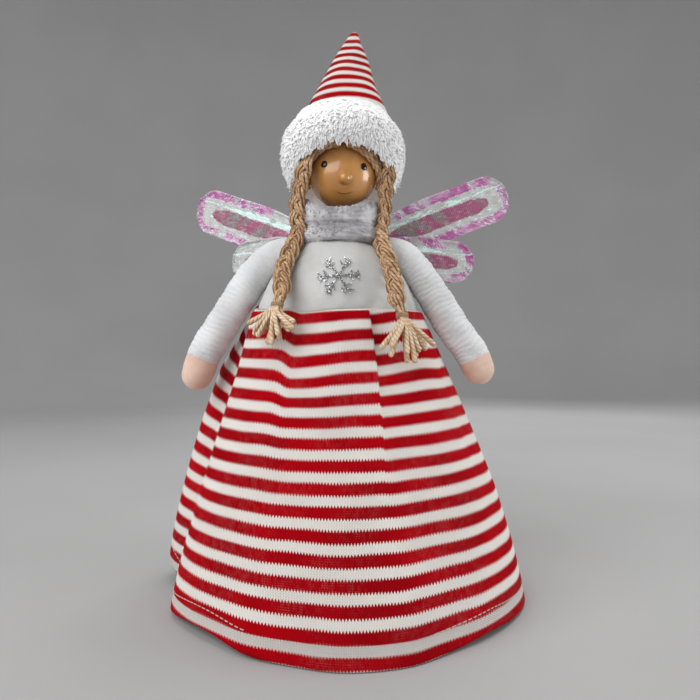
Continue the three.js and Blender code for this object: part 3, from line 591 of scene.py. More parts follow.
class SharedEffects:
    """Node groups that several finishes use, each built once."""

    def __init__(self) -> None:
        """Builds the groups."""
        self.stitches = self._stitches()
        self.fibres = self._fibres()
        self.tones = self._tones()
        self.plies = self._plies()

    @staticmethod
    def _group(name: str, inputs: Mapping[str, str]) -> tuple[Graph, dict[str, Signal]]:
        """Empty group with named inputs.

        Args:
            name: Name of the group.
            inputs: Kinds of its inputs by name.

        Returns:
            The graph inside, and its inputs by name.
        """
        tree = bpy.data.node_groups.new(name, "ShaderNodeTree")
        for label, kind in inputs.items():
            tree.interface.new_socket(name=label, in_out="INPUT", socket_type=f"NodeSocket{kind}")
        graph = Graph(tree)
        return graph, graph.signals(tree.nodes.new("NodeGroupInput"))

    @staticmethod
    def _close(graph: Graph, outputs: Mapping[str, Signal]) -> Tree:
        """Gives a group its named outputs.

        Args:
            graph: The graph inside.
            outputs: What each output carries, by name.

        Returns:
            The finished group.
        """
        for label, signal in outputs.items():
            kind = "Color" if signal.socket.type == "RGBA" else "Float"
            graph.tree.interface.new_socket(name=label, in_out="OUTPUT", socket_type=f"NodeSocket{kind}")
        out = graph.tree.nodes.new("NodeGroupOutput")
        for label, signal in outputs.items():
            graph.feed(out.inputs[label], signal)
        return graph.tree

    def _stitches(self) -> Tree:
        """Knitted V stitches.

        Returns:
            The group, with the stitches' relief, their zigzag, a mask of painted shade in the grooves,
            the openings between them and a chance number for each stitch.
        """
        graph, inside = self._group("knit_stitches", {
            "Across": "Float", "Along": "Float", "Wale": "Float", "Course": "Float",
        })
        across = inside["Across"] / inside["Wale"]
        leg = abs(across.math("FRACT") - 0.5) * 2.0
        slanted = inside["Along"] / inside["Course"] - leg
        crown = slanted.math("FRACT").wave(2.0)
        body = leg.wave(2.0)
        relief = crown ** 0.6 * body ** 0.5
        cell = graph.point(across.math("FLOOR"), slanted.math("FLOOR"), 0.0)
        # The grooves' mask is painted shade, which darkens the knit's colour in its recesses.
        return self._close(graph, {
            "Relief": relief,
            "Zigzag": leg,
            "Groove": (1.0 - relief) ** 2.0,
            "Opening": (1.0 - crown) * (1.0 - body),
            "Chance": graph.node("TexWhiteNoise", {"Vector": cell}, "Value", noise_dimensions="2D"),
        })

    def _fibres(self) -> Tree:
        """Brushed fibres.

        Returns:
            The group, with a fine fuzz and the soft clumps under it.
        """
        graph, inside = self._group("brushed_fibres", {"Vector": "Vector", "Fineness": "Float"})
        spread = graph.scaled(inside["Vector"], inside["Fineness"])
        clumps = graph.noise(spread, 0.45, 3.0, 0.6)
        fuzz = graph.noise(spread, 2.2, 4.0, 0.7) * 0.7 + clumps * 0.3
        return self._close(graph, {"Fuzz": fuzz, "Clumps": clumps})

    def _tones(self) -> Tree:
        """Slow changes of tone over a surface.

        Returns:
            The group, with the colour and the share of its darker tone.
        """
        graph, inside = self._group("slow_tones", {
            "Vector": "Vector", "Light": "Color", "Dark": "Color", "Scale": "Float",
        })
        share = graph.noise(inside["Vector"], inside["Scale"]).ranged(0.32, 0.68)
        colour = graph.blend(share, inside["Light"], inside["Dark"])
        return self._close(graph, {"Color": colour, "Share": share})

    def _plies(self) -> Tree:
        """Twisted plies of a yarn.

        Returns:
            The group, with the plies' relief, a mask of painted shade in the grooves between them and a mask of
            painted shade on the yarn's flanks.
        """
        graph, inside = self._group("twisted_plies", {
            "Around": "Float", "Along": "Float", "Plies": "Float", "Pitch": "Float",
        })
        wound = (inside["Around"] + inside["Along"] / inside["Pitch"]) * inside["Plies"]
        ridge = abs(wound.wave(2.0))
        # The groove and flank masks are painted shade, which darkens the yarn's colour.
        return self._close(graph, {
            "Relief": ridge ** 0.7,
            "Groove": ridge.ranged(0.0, 0.5, 1.0, 0.0),
            "Flank": abs(inside["Around"].wave(1.0)).ranged(0.62, 0.99),
        })


EFFECTS = SharedEffects()


@dataclass(frozen=True)
class Finish:
    """A surface with a name and two tones, from which each kind of finish makes its material."""

    name: str
    light: Colour
    dark: Colour

    def material(self) -> bpy.types.Material:
        """The material of this finish, made the first time it is asked for.

        Returns:
            The material.
        """
        found = bpy.data.materials.get(self.name)
        if found is not None:
            return found
        made = bpy.data.materials.new(self.name)
        made.use_nodes = True
        graph = Graph(made.node_tree)
        shader = made.node_tree.nodes["Principled BSDF"]
        for label, value in self.surface(graph).items():
            graph.feed(shader.inputs[label], value)
        return made

    def surface(self, graph: Graph) -> dict[str, Feed]:
        """What the shader's inputs carry; each kind of finish has its own."""
        raise NotImplementedError

    def tone(self, graph: Graph, scale: float) -> dict[str, Signal]:
        """The two tones in slow patches, with a scale in patches for each millimetre."""
        inputs = {"Vector": graph.place(), "Light": self.light, "Dark": self.dark, "Scale": scale}
        return graph.shared(EFFECTS.tones, inputs)

    def nap(self, graph: Graph, fineness: float) -> dict[str, Signal]:
        """Brushed fibres of a fineness."""
        return graph.shared(EFFECTS.fibres, {"Vector": graph.place(), "Fineness": fineness})


@dataclass(frozen=True)
class StripedKnit(Finish):
    """Stockinette in stripes, white on the light tone and red on the dark, edged by its stitches."""

    period: float = 10.05
    red_width: float = 5.5
    start: float = 1.5
    open_from: float = 400.0
    open_to: float = 410.0
    wale: float = 1.45
    course: float = 1.05
    tooth: float = 1.5
    # The deep red is partly painted shade in the stitches' grooves and partly a random drift of tone; the grey is
    # painted shade in the white's grooves; the hole shade is painted shade seen through the openings.
    deep_red: Colour = paint(138, 0, 10)
    grey: Colour = paint(196, 184, 176)
    hole_shade: Colour = paint(62, 48, 48)

    def surface(self, graph: Graph) -> dict[str, Feed]:
        """Stripes by the length along the cloth, stitches by both lengths, with painted shade in the grooves and
        the openings.

        Args:
            graph: The material's graph.

        Returns:
            The shader's inputs.
        """
        across, along, both = graph.cloth()
        stitch = graph.shared(EFFECTS.stitches, {
            "Across": across, "Along": along, "Wale": self.wale, "Course": self.course,
        })
        groove, opening = stitch["Groove"], stitch["Opening"]
        wander = (graph.noise(both, 0.05, 1.0) - 0.5) * 1.3
        level = along + stitch["Zigzag"] * -self.tooth + wander
        turns = (level - self.start) / self.period
        in_red = (turns.math("FRACT") < self.red_width / self.period) * (turns > 0.0)
        stretch = graph.noise(both, 0.03, 1.0).ranged(0.4, 0.62)
        drift = graph.noise(graph.place(), 0.03).ranged(0.32, 0.68)
        speck = opening.ranged(0.12, 0.5) * stretch * stitch["Chance"].ranged(0.3, 1.0, 0.0, 0.2)
        # Painted shade in the grooves, mixed with a slow random drift, darkens the red.
        red = graph.blend(groove * 0.5 + drift * 0.5, self.dark, self.deep_red)
        in_open = (level > self.open_from) * (level < self.open_to)
        # Painted shade in the openings: dark dots in the open band and where the knit is stretched.
        loose = opening.ranged(0.1, 0.45) * (stretch * 0.42 + 0.1)
        gaps = (opening.ranged(0.03, 0.24) * in_open).at_least(loose)
        # Painted shade in the grooves greys the white.
        white = graph.blend(groove * 0.45, self.light, self.grey)
        pale, deep = graph.blend(gaps, white, self.hole_shade), graph.blend(speck, red, self.light)
        nap = self.nap(graph, 2.4)
        return {
            "Base Color": graph.blend(in_red, pale, deep),
            "Roughness": stitch["Relief"].ranged(0.0, 1.0, 0.97, 0.82),
            "Normal": graph.relief(stitch["Relief"] + nap["Fuzz"] * 0.5, 0.4, 0.85),
            "Specular IOR Level": 0.05,
        }


@dataclass(frozen=True)
class Fleece(Finish):
    """Brushed ribbed fleece."""

    rib_pitch: float = 1.55
    rib_depth: float = 0.2
    fineness: float = 1.2
    patch: float = 0.06

    def surface(self, graph: Graph) -> dict[str, Feed]:
        """Ribs across the cloth under a clumped nap, with painted shade where the nap is low.

        Args:
            graph: The material's graph.

        Returns:
            The shader's inputs.
        """
        nap = self.nap(graph, self.fineness)
        rib = graph.cloth()[1].wave(self.rib_pitch) * 0.5 + 0.5
        worn = rib * nap["Clumps"].ranged(0.3, 0.65)
        # Painted shade: the colour darkens where the nap is low.
        pit_shade = nap["Fuzz"].ranged(0.38, 0.55, 0.4, 0.0)
        return {
            "Base Color": graph.blend(pit_shade, self.tone(graph, self.patch)["Color"], self.dark),
            "Roughness": nap["Fuzz"].ranged(0.3, 0.7, 1.0, 0.88),
            "Normal": graph.relief(worn * self.rib_depth + nap["Fuzz"] * 0.8, 0.6, 0.75),
            "Specular IOR Level": 0.15,
            "Sheen Weight": 0.3,
            "Sheen Roughness": 0.6,
        }


@dataclass(frozen=True)
class Yarn(Finish):
    """Wool yarn of several twisted plies."""

    # The groove shade is the colour of the painted shade in the grooves between plies and on the flanks.
    groove: Colour = paint(92, 58, 34)
    plies: float = 2.0
    pitch: float = 5.0
    cut: float = 0.35
    shade: float = 0.75

    def surface(self, graph: Graph) -> dict[str, Feed]:
        """Painted shade in the grooves between the plies, on the flanks and where the nap is low, with fuzz over
        all.

        Args:
            graph: The material's graph.

        Returns:
            The shader's inputs.
        """
        turns, along, _ = graph.cloth()
        ply = graph.shared(EFFECTS.plies, {
            "Around": turns, "Along": along, "Plies": self.plies, "Pitch": self.pitch,
        })
        nap = self.nap(graph, 2.6)
        # Painted shade: darker in the grooves, on the flanks and where the nap is low.
        painted_shade = (ply["Groove"] * self.cut).at_least(ply["Flank"] * self.shade)
        nap_shade = nap["Fuzz"].ranged(0.35, 0.6, 0.35, 0.0)
        strand = graph.blend(nap_shade, self.tone(graph, 0.25)["Color"], self.dark)
        return {
            "Base Color": graph.blend(painted_shade, strand, self.groove),
            "Roughness": ply["Relief"].ranged(0.0, 1.0, 0.98, 0.85),
            "Normal": graph.relief(ply["Relief"] + nap["Fuzz"] * 0.5, 0.5, 0.9),
            "Specular IOR Level": 0.2,
            "Sheen Weight": 0.15,
        }


@dataclass(frozen=True)
class FurPile(Finish):
    """Pile of a fur cuff, with a little light of its own for what scatters between the hairs."""

    def surface(self, graph: Graph) -> dict[str, Feed]:
        """Clumps of light and shade in the pile.

        Args:
            graph: The material's graph.

        Returns:
            The shader's inputs.
        """
        nap = self.nap(graph, 0.9)
        shade = nap["Fuzz"].ranged(0.35, 0.6, 0.2, 0.0)
        return {
            "Base Color": graph.blend(shade, self.tone(graph, 0.3)["Color"], self.dark),
            "Roughness": nap["Clumps"].ranged(0.3, 0.7, 0.95, 0.8),
            "Normal": graph.relief(nap["Fuzz"], 0.3, 0.5),
            "Specular IOR Level": 0.2,
            "Sheen Weight": 0.5,
            "Sheen Roughness": 0.4,
            # Painted glow: a faint light of the pile's own, standing in for light scattered between the hairs.
            "Emission Color": self.light,
            "Emission Strength": 0.1,
        }


@dataclass(frozen=True)
class VarnishedWood(Finish):
    """Turned wood under a satin varnish."""

    grain: float = 0.16
    drawn_out: Triple = (1.0, 1.0, 0.14)

    def surface(self, graph: Graph) -> dict[str, Feed]:
        """Faint rings of grain, and a varnish that pools a little.

        Args:
            graph: The material's graph.

        Returns:
            The shader's inputs.
        """
        drawn = graph.node("VectorMath", {0: graph.place(), 1: self.drawn_out}, operation="MULTIPLY")
        rings = graph.noise(drawn, self.grain, 3.0, 0.55)
        pores = graph.noise(drawn, self.grain * 9, 2.0, 0.6)
        share = rings.ranged(0.35, 0.65, 0.0, 0.32) + pores.ranged(0.4, 0.7, 0.0, 0.13)
        return {
            "Base Color": graph.blend(share, self.tone(graph, 0.05)["Color"], self.dark),
            "Roughness": rings.ranged(0.3, 0.7, 0.3, 0.42),
            "Normal": graph.relief(pores, 0.03, 0.4),
            "Coat Weight": 0.8,
            "Coat Roughness": 0.13,
        }


@dataclass(frozen=True)
class EvenCoat(Finish):
    """Paint, glitter, drawn wire or matt ground: two close tones, with a gloss that goes with them."""

    scale: float = 0.8
    gloss: tuple[float, float] = (0.1, 0.2)
    metal: float = 0.0
    shine: float = 0.5

    def surface(self, graph: Graph) -> dict[str, Feed]:
        """Tones and gloss that vary together.

        Args:
            graph: The material's graph.

        Returns:
            The shader's inputs.
        """
        tone = self.tone(graph, self.scale)
        return {
            "Base Color": tone["Color"],
            "Roughness": tone["Share"].ranged(0.0, 1.0, *self.gloss),
            "Metallic": self.metal,
            "Specular IOR Level": self.shine,
        }


@dataclass(frozen=True)
class RolledCard(Finish):
    """Plain pale card with its fibres."""

    def surface(self, graph: Graph) -> dict[str, Feed]:
        """Flecks and a fibrous tooth.

        Args:
            graph: The material's graph.

        Returns:
            The shader's inputs.
        """
        nap = self.nap(graph, 0.7)
        fleck = nap["Fuzz"].ranged(0.58, 0.68, 0.0, 0.5)
        return {
            "Base Color": graph.blend(fleck, self.tone(graph, 0.04)["Color"], self.dark),
            "Roughness": nap["Clumps"].ranged(0.3, 0.7, 0.96, 0.84),
            "Normal": graph.relief(nap["Fuzz"], 0.12, 0.5),
        }


@dataclass(frozen=True)
class WingPlan:
    """Outline of a wing: its side, length, width and lift, and its root's height and depth on the binding."""

    name: str
    side: Side
    length: float
    width: float
    root: float
    lift: float
    layer: float
    root_turn: float = 0.36
    shoulder: float = 0.55
    tip: float = 0.84
    taper: float = 0.62
    bare: float = 0.3

    @property
    def label(self) -> str:
        """The wing's name as the CAD nodes spell it."""
        return f"{self.name}_{self.side.word}"

    def half_width(self, share: Array) -> Array:
        """Half the width at a share of the length.

        Args:
            share: Shares of the length.

        Returns:
            Half widths.
        """
        rise = np.sin(np.pi / 2 * np.minimum(share / self.shoulder, 1)) ** self.taper
        tip = np.maximum(share - self.tip, 0) / (1 - self.tip)
        return self.width / 2 * rise * np.sqrt(np.maximum(1 - tip ** 2, 0))


@dataclass(frozen=True)
class WingFilm(Finish):
    """Crinkled iridescent film: pink margin pieces, a wine heart and a pale streak, clear between."""

    plan: WingPlan
    margin: float
    seed: float
    pink: Colour = paint(222, 178, 210)
    magenta: Colour = paint(196, 98, 172)
    wine: Colour = paint(172, 80, 122)
    grey: Colour = paint(134, 136, 130)
    # The mint colours the pale streak and the painted glints.
    mint: Colour = paint(226, 251, 247)
    green: Colour = paint(196, 240, 176)

    def rim_distance(self, rise: Signal, share: Signal) -> Signal:
        """Distance in from the wing's outline.

        Args:
            rise: Height across the wing.
            share: Share of the length along the wing.

        Returns:
            The distance, in millimetres.
        """
        plan = self.plan
        grown = (share / plan.shoulder).at_most(1.0).wave(4.0) ** plan.taper
        tip = (share - plan.tip).at_least(0.0) / (1 - plan.tip)
        rounded = (1.0 - tip * tip).at_least(0.0).math("SQRT")
        half = grown * rounded * (plan.width / 2)
        return (half - abs(rise)).at_most((1.0 - share) * plan.length)

    def surface(self, graph: Graph) -> dict[str, Feed]:
        """Colours by the place on the wing, in ragged pieces between creases.

        Args:
            graph: The material's graph.

        Returns:
            The shader's inputs.
        """
        rise, along, _ = graph.cloth()
        wide = self.plan.width / 27
        share = along / self.plan.length
        spread = graph.point(rise, along, self.seed)
        drawn = graph.point(rise, along * 0.28, self.seed)
        ragged = graph.noise(spread, 0.8, 4.0, 0.75)
        tear = (ragged - 0.5) * 6.0
        bend = (graph.noise(spread, 0.13, 2.0, 0.6) - 0.5) * 4.0
        patches = graph.noise(drawn, 0.3)
        slant = along + (rise * 0.8 + tear)
        pieces = graph.noise(graph.point(rise * 0.45, slant, self.seed), 0.1, 3.0, 0.68)
        # The margin's pieces, and the slits between them.
        edge = self.rim_distance(rise, share) + (tear * 0.3 + bend * 0.35)
        in_rim = edge.ranged(self.margin - 0.25, self.margin + 0.25, 1.0, 0.0)
        begun = (share + rise * 0.008).ranged(self.plan.bare, self.plan.bare + 0.08)
        rim = in_rim * pieces.ranged(0.42, 0.45) * begun
        slit = rim * (abs(pieces - 0.5).ranged(0.0, 0.024, 0.9, 0.0) * ragged.ranged(0.36, 0.52))
        # Painted glint: a broken pale line along the inner edge of the margin.
        seam = abs(edge - self.margin).ranged(0.0, 0.6, 0.9, 0.0) * ragged.ranged(0.45, 0.6)
        # The heart, worn grey in places.
        level = rise + (tear * 0.55 + bend * 0.5)
        reach = share + tear * 0.008
        ended = reach.ranged(0.76, 0.9, 1.0, 0.5) * reach.ranged(0.865, 0.89, 1.0, 0.0)
        half = reach.ranged(0.12, 0.36, 0.0, 5.2 * wide) * ended
        heart = (half - abs(level + 0.8 * wide)).ranged(0.0, 0.7)
        worn = heart * pieces.ranged(0.47, 0.43, 0.0, 0.8)
        coloured = heart.at_least(rim)
        # The pale streak above the heart, the painted glints, and the green tinge at the root.
        kept = share.ranged(0.2, 0.34) * share.ranged(0.64, 0.76, 1.0, 0.3)
        streak_half = patches.ranged(0.34, 0.6, -0.6, 2.0) * kept
        streak = (streak_half - abs(level - 5.8 * wide)).ranged(-0.1, 0.4)
        glint = graph.noise(drawn, 1.0, 3.0, 0.75).ranged(0.57, 0.66) * (0.9 - coloured * 0.6)
        pale = streak.at_least(slit).at_least(seam.at_least(glint))
        below = abs(level + 7.4 * wide).ranged(1.0, 2.0, 0.9, 0.0)
        root = share.ranged(0.34, 0.5, 1.0, 0.0) * (patches.ranged(0.3, 0.45) * below)
        clear = graph.blend(root, self.tone(graph, 0.2)["Color"], self.green)
        hearted = graph.blend(worn, graph.blend(heart, clear, self.wine), self.grey)
        foil = graph.blend(patches.ranged(0.34, 0.54), self.pink, self.magenta)
        lines = (along + tear * 0.1).wave(1.25) * heart
        cover = coloured * 0.3 + (lines * 0.14 + 0.5)
        fold = abs(graph.noise(drawn, 0.45, 3.0) * 2.0 - 1.0)
        return {
            "Base Color": graph.blend(pale, graph.blend(rim, hearted, foil), self.mint),
            "Alpha": (cover + pale * 0.45).at_most(0.95),
            "Roughness": ragged.ranged(0.3, 0.7, 0.1, 0.3),
            "Normal": graph.relief(ragged * 0.5 - fold, 1.0, 0.8),
            "Specular IOR Level": 0.7,
            "Coat Weight": 0.5,
            "Coat Roughness": 0.06,
        }


SKIRT_KNIT = StripedKnit("skirt_knit", paint(250, 245, 239), paint(192, 2, 18), open_from=147.2, open_to=151.8)
HAT_KNIT = StripedKnit("hat_knit", SKIRT_KNIT.light, SKIRT_KNIT.dark, period=6.2, red_width=3.35, start=3.8,
                       wale=1.2, course=0.9, tooth=1.0)
SLEEVE_FLEECE = Fleece("sleeve_fleece", paint(231, 232, 233), paint(212, 214, 216))
# The body fleece is a darker copy of the sleeve fleece: painted shade.
BODY_FLEECE = Fleece("body_fleece", paint(206, 206, 204), paint(188, 188, 186), rib_depth=0.04)
# The collar's darker tone, in slow patches, is painted shade from under the head.
COLLAR_FLEECE = Fleece("collar_fleece", paint(222, 221, 223), paint(164, 161, 164), rib_depth=0.05, fineness=0.9,
                       patch=0.09)
HAND_COTTON = Fleece("hand_cotton", paint(236, 208, 190), paint(220, 180, 158), rib_depth=0.05, fineness=1.8)
HAIR_YARN = Yarn("hair_yarn", paint(222, 186, 146), paint(190, 150, 112))
# The fringe yarn is a lighter copy of the hair yarn with less shade: painted light against the fur's shadow.
FRINGE_YARN = Yarn("fringe_yarn", paint(234, 194, 154), paint(204, 160, 122), cut=0.5, shade=0.5)
TASSEL_YARN = Yarn("tassel_yarn", paint(244, 222, 192), paint(220, 188, 152), groove=paint(146, 106, 74),
                   plies=3.0, pitch=7.0, cut=0.7, shade=0.4)
TIE_THREAD = Yarn("tie_thread", paint(216, 180, 144), paint(190, 152, 116), pitch=1.6, shade=0.5)
HEM_THREAD = Yarn("hem_thread", paint(244, 238, 230), paint(222, 212, 202), groove=paint(190, 176, 166), pitch=0.9)
FUR = FurPile("fur_pile", paint(255, 255, 255), paint(247, 247, 248))
WOOD = VarnishedWood("head_wood", paint(208, 150, 84), paint(184, 124, 58))
EYE_BLACK = EvenCoat("eye_black", paint(10, 9, 9), paint(20, 17, 16), gloss=(0.1, 0.16))
SMILE_BROWN = EvenCoat("smile_brown", paint(110, 56, 30), paint(88, 42, 22), gloss=(0.4, 0.5))
SILVER = EvenCoat("snowflake_silver", paint(206, 206, 210), paint(84, 84, 90), scale=1.6, gloss=(0.16, 0.42),
                  metal=0.85)
STEEL = EvenCoat("wing_wire", paint(206, 206, 210), paint(150, 150, 156), scale=0.6, gloss=(0.22, 0.4), metal=0.9)
CARD = RolledCard("support_card", paint(222, 214, 200), paint(196, 186, 168))
GROUND = EvenCoat("studio_ground", paint(176, 176, 176), paint(172, 172, 172), scale=0.004, gloss=(0.9, 0.92),
                  shine=0.1)


@dataclass(frozen=True)
class Fold:
    """A fold of the skirt: its angle, its spread on either side and how far it stands out."""

    at: float
    before: float
    after: float
    hem: float
    waist: float


@dataclass(frozen=True)
class Swell:
    """How far the skirt's cloth bears out round an angle, at six even shares of its height from the hem."""

    at: float
    before: float
    after: float
    reach: tuple[float, ...]

    def size(self, angle: Array, share: Array) -> Array:
        """Reach at an angle and a share of the height."""
        most = np.interp(share, np.linspace(0, 1, len(self.reach)), self.reach)
        return most * bump(angle, self.at, self.before, self.after)


@dataclass(frozen=True)
class Figure:
    """Sizes that several pieces share, about the doll's axis."""

    gap: float = 0.3
    lean: float = -3.0
    skirt_height: float = 149.0
    hem_radius: float = 88.5
    bell: float = 1.25
    cloth: float = 1.4
    torso_top: float = 194.0
    torso_sides: Pairs = (
        (42.8, 140.0), (42.8, 166.0), (28.0, 180.0), (13.0, 194.0),
    )
    collar_radius: float = 19.5
    collar_drop: float = 8.0
    head_radius: float = 18.0
    head_height: float = 223.2
    head_shift: float = 2.5
    shoulder: tuple[float, float] = (34.4, 186.0)
    arm_angle: float = 33.0
    arm_forward: float = 4.0
    folds: tuple[Fold, ...] = (
        Fold(-88, 7, 6, -6, 0), Fold(-110, 22, 12, 13, 4), Fold(-64, 12, 18, 1.5, 5),
        Fold(-40, 9, 9, 0, 2.5), Fold(18, 24, 5, 0.5, 4), Fold(60, 14, 5, 1, 3), Fold(92, 16, 16, 3, 1),
        Fold(134, 14, 14, 5, 3), Fold(176, 16, 16, 5, 3), Fold(-150, 13, 13, 5, 3),
    )

    @property
    def axis(self) -> Array:
        """The doll's axis on the ground, from the card cone's box."""
        low, high = (np.array(corner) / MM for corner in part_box("support_cone"))
        return np.array([(low[0] + high[0]) / 2, low[1] + (high[0] - low[0]) / 2, 0.0])

    @property
    def upper(self) -> Array:
        """The axis of the leaning upper body."""
        return self.axis + np.array([self.lean, 0.0, 0.0])

    def torso_line(self, shares: Array) -> Array:
        """Radius and height along the side of the body.

        Args:
            shares: Shares of the line from the waist to the neck.

        Returns:
            A row with a radius and a height for each share.
        """
        first, second, third, last = (np.array(p) for p in self.torso_sides)
        t = np.asarray(shares, float)[:, None]
        return (first * (1 - t) ** 3 + 3 * second * t * (1 - t) ** 2
                + 3 * third * t ** 2 * (1 - t) + last * t ** 3)

    def torso_radius(self, height: Array | float) -> Array:
        """Radius of the body at a height."""
        line = self.torso_line(np.linspace(0, 1, 121))
        return np.interp(height, line[:, 1], line[:, 0])

    def folds_at(self, angle: Array, share: Array) -> Array:
        """How far the folds stand out.

        Args:
            angle: Angles around the skirt.
            share: Shares of its height, 0 at the hem.

        Returns:
            The distances.
        """
        total = np.zeros(np.broadcast(angle, share).shape)
        for fold in self.folds:
            reach = fold.hem * (1 - share) + fold.waist * share ** 2
            total = total + reach * bump(angle, fold.at, fold.before, fold.after)
        return total

    @property
    def waist_radius(self) -> float:
        """Radius of the skirt's waist without its folds."""
        ease = float(self.folds_at(np.arange(60) * 6.0, np.ones(60)).min())
        return float(self.torso_radius(self.skirt_height)) + self.gap + self.cloth - ease

    def skirt_radius(self, angle: Array, share: Array) -> Array:
        """Outer radius of the skirt at an angle and a share of its height, 0 at the hem."""
        plain = mixed(self.hem_radius, self.waist_radius, np.asarray(share, float) ** self.bell)
        return plain + self.folds_at(np.asarray(angle, float), np.asarray(share, float))

    def skirt_reach(self, angle: float, share: float, spread: float) -> float:
        """Largest radius of the skirt within a spread of an angle."""
        near = angle + spread * np.array([-1, -0.5, 0, 0.5, 1])
        return float(self.skirt_radius(near, np.full(5, min(share, 1.0))).max())


FIGURE = Figure()
PIECES: list[str] = []


def dress(piece: Piece, body: str | None, nodes: Sequence[str] = ()) -> Piece:
    """Hangs a finished piece on its body and hides the CAD nodes that it stands for.

    Args:
        piece: The piece, in place.
        body: The CAD body that carries it, or None to leave it without one.
        nodes: The CAD nodes that it stands for.

    Returns:
        The same piece.
    """
    if body is not None:
        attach(piece, body)
    if nodes:
        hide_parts(*nodes)
    PIECES.append(piece.name)
    LOG.info("%s: %d faces", piece.name, len(piece.data.polygons))
    return piece


def hang(shape: Shape, name: str, finish: Finish, body: str, nodes: Sequence[str] = (),
         smooth: bool = True) -> Piece:
    """Makes a piece about the leaning axis, with its faces smooth or flat, and dresses it."""
    return dress(shape.build(name, finish, FIGURE.upper, smooth), body, nodes)


FILLED_CLOTH = {
    "quality": 5, "mass": 0.25, "tension_stiffness": 18, "compression_stiffness": 12, "shear_stiffness": 6,
    "bending_stiffness": 0.8, "use_pressure": True, "vertex_group_mass": "seams",
}


def settle(piece: Piece, held: Array, pressure: float, reach: float, frames: int = 16) -> None:
    """Fills a stuffed piece with a cloth simulation, and keeps its result.

    Args:
        piece: The piece, with its mesh in metres.
        held: Which of its points the seams hold.
        pressure: How hard the filling presses.
        reach: The farthest that a point may move, in millimetres.
        frames: Steps of the simulation.
    """
    larger = 10.0
    piece.data.transform(Matrix.Scale(larger, 4))
    group = piece.vertex_groups.new(name="seams")
    group.add([int(i) for i in np.flatnonzero(held)], 1.0, "REPLACE")
    cloth = piece.modifiers.new("filling", "CLOTH")
    for key, value in FILLED_CLOTH.items():
        setattr(cloth.settings, key, value)
    cloth.settings.uniform_pressure_force = pressure
    cloth.settings.effector_weights.gravity = 0
    cloth.point_cache.frame_start, cloth.point_cache.frame_end = 1, frames
    for step in range(1, frames + 1):
        bpy.context.scene.frame_set(step)
    shown = piece.evaluated_get(bpy.context.evaluated_depsgraph_get())
    rest = np.zeros(len(piece.data.vertices) * 3, np.float32)
    moved = rest.copy()
    piece.data.vertices.foreach_get("co", rest)
    shown.data.vertices.foreach_get("co", moved)
    piece.modifiers.remove(cloth)
    piece.vertex_groups.remove(group)
    shift = (moved - rest).reshape(-1, 3)
    most = reach * MM * larger
    length = np.linalg.norm(shift, axis=1, keepdims=True)
    kept = shift * (most * np.tanh(length / most) / np.maximum(length, 1e-9))
    piece.data.vertices.foreach_set("co", (rest.reshape(-1, 3) + kept).astype(np.float32).reshape(-1))
    piece.data.transform(Matrix.Scale(1 / larger, 4))
    piece.data.update()
    bpy.context.scene.frame_set(1)
    farthest = float(np.linalg.norm(kept, axis=1).max()) / larger / MM
    LOG.info("%s: filled, largest move %.2f mm", piece.name, farthest)


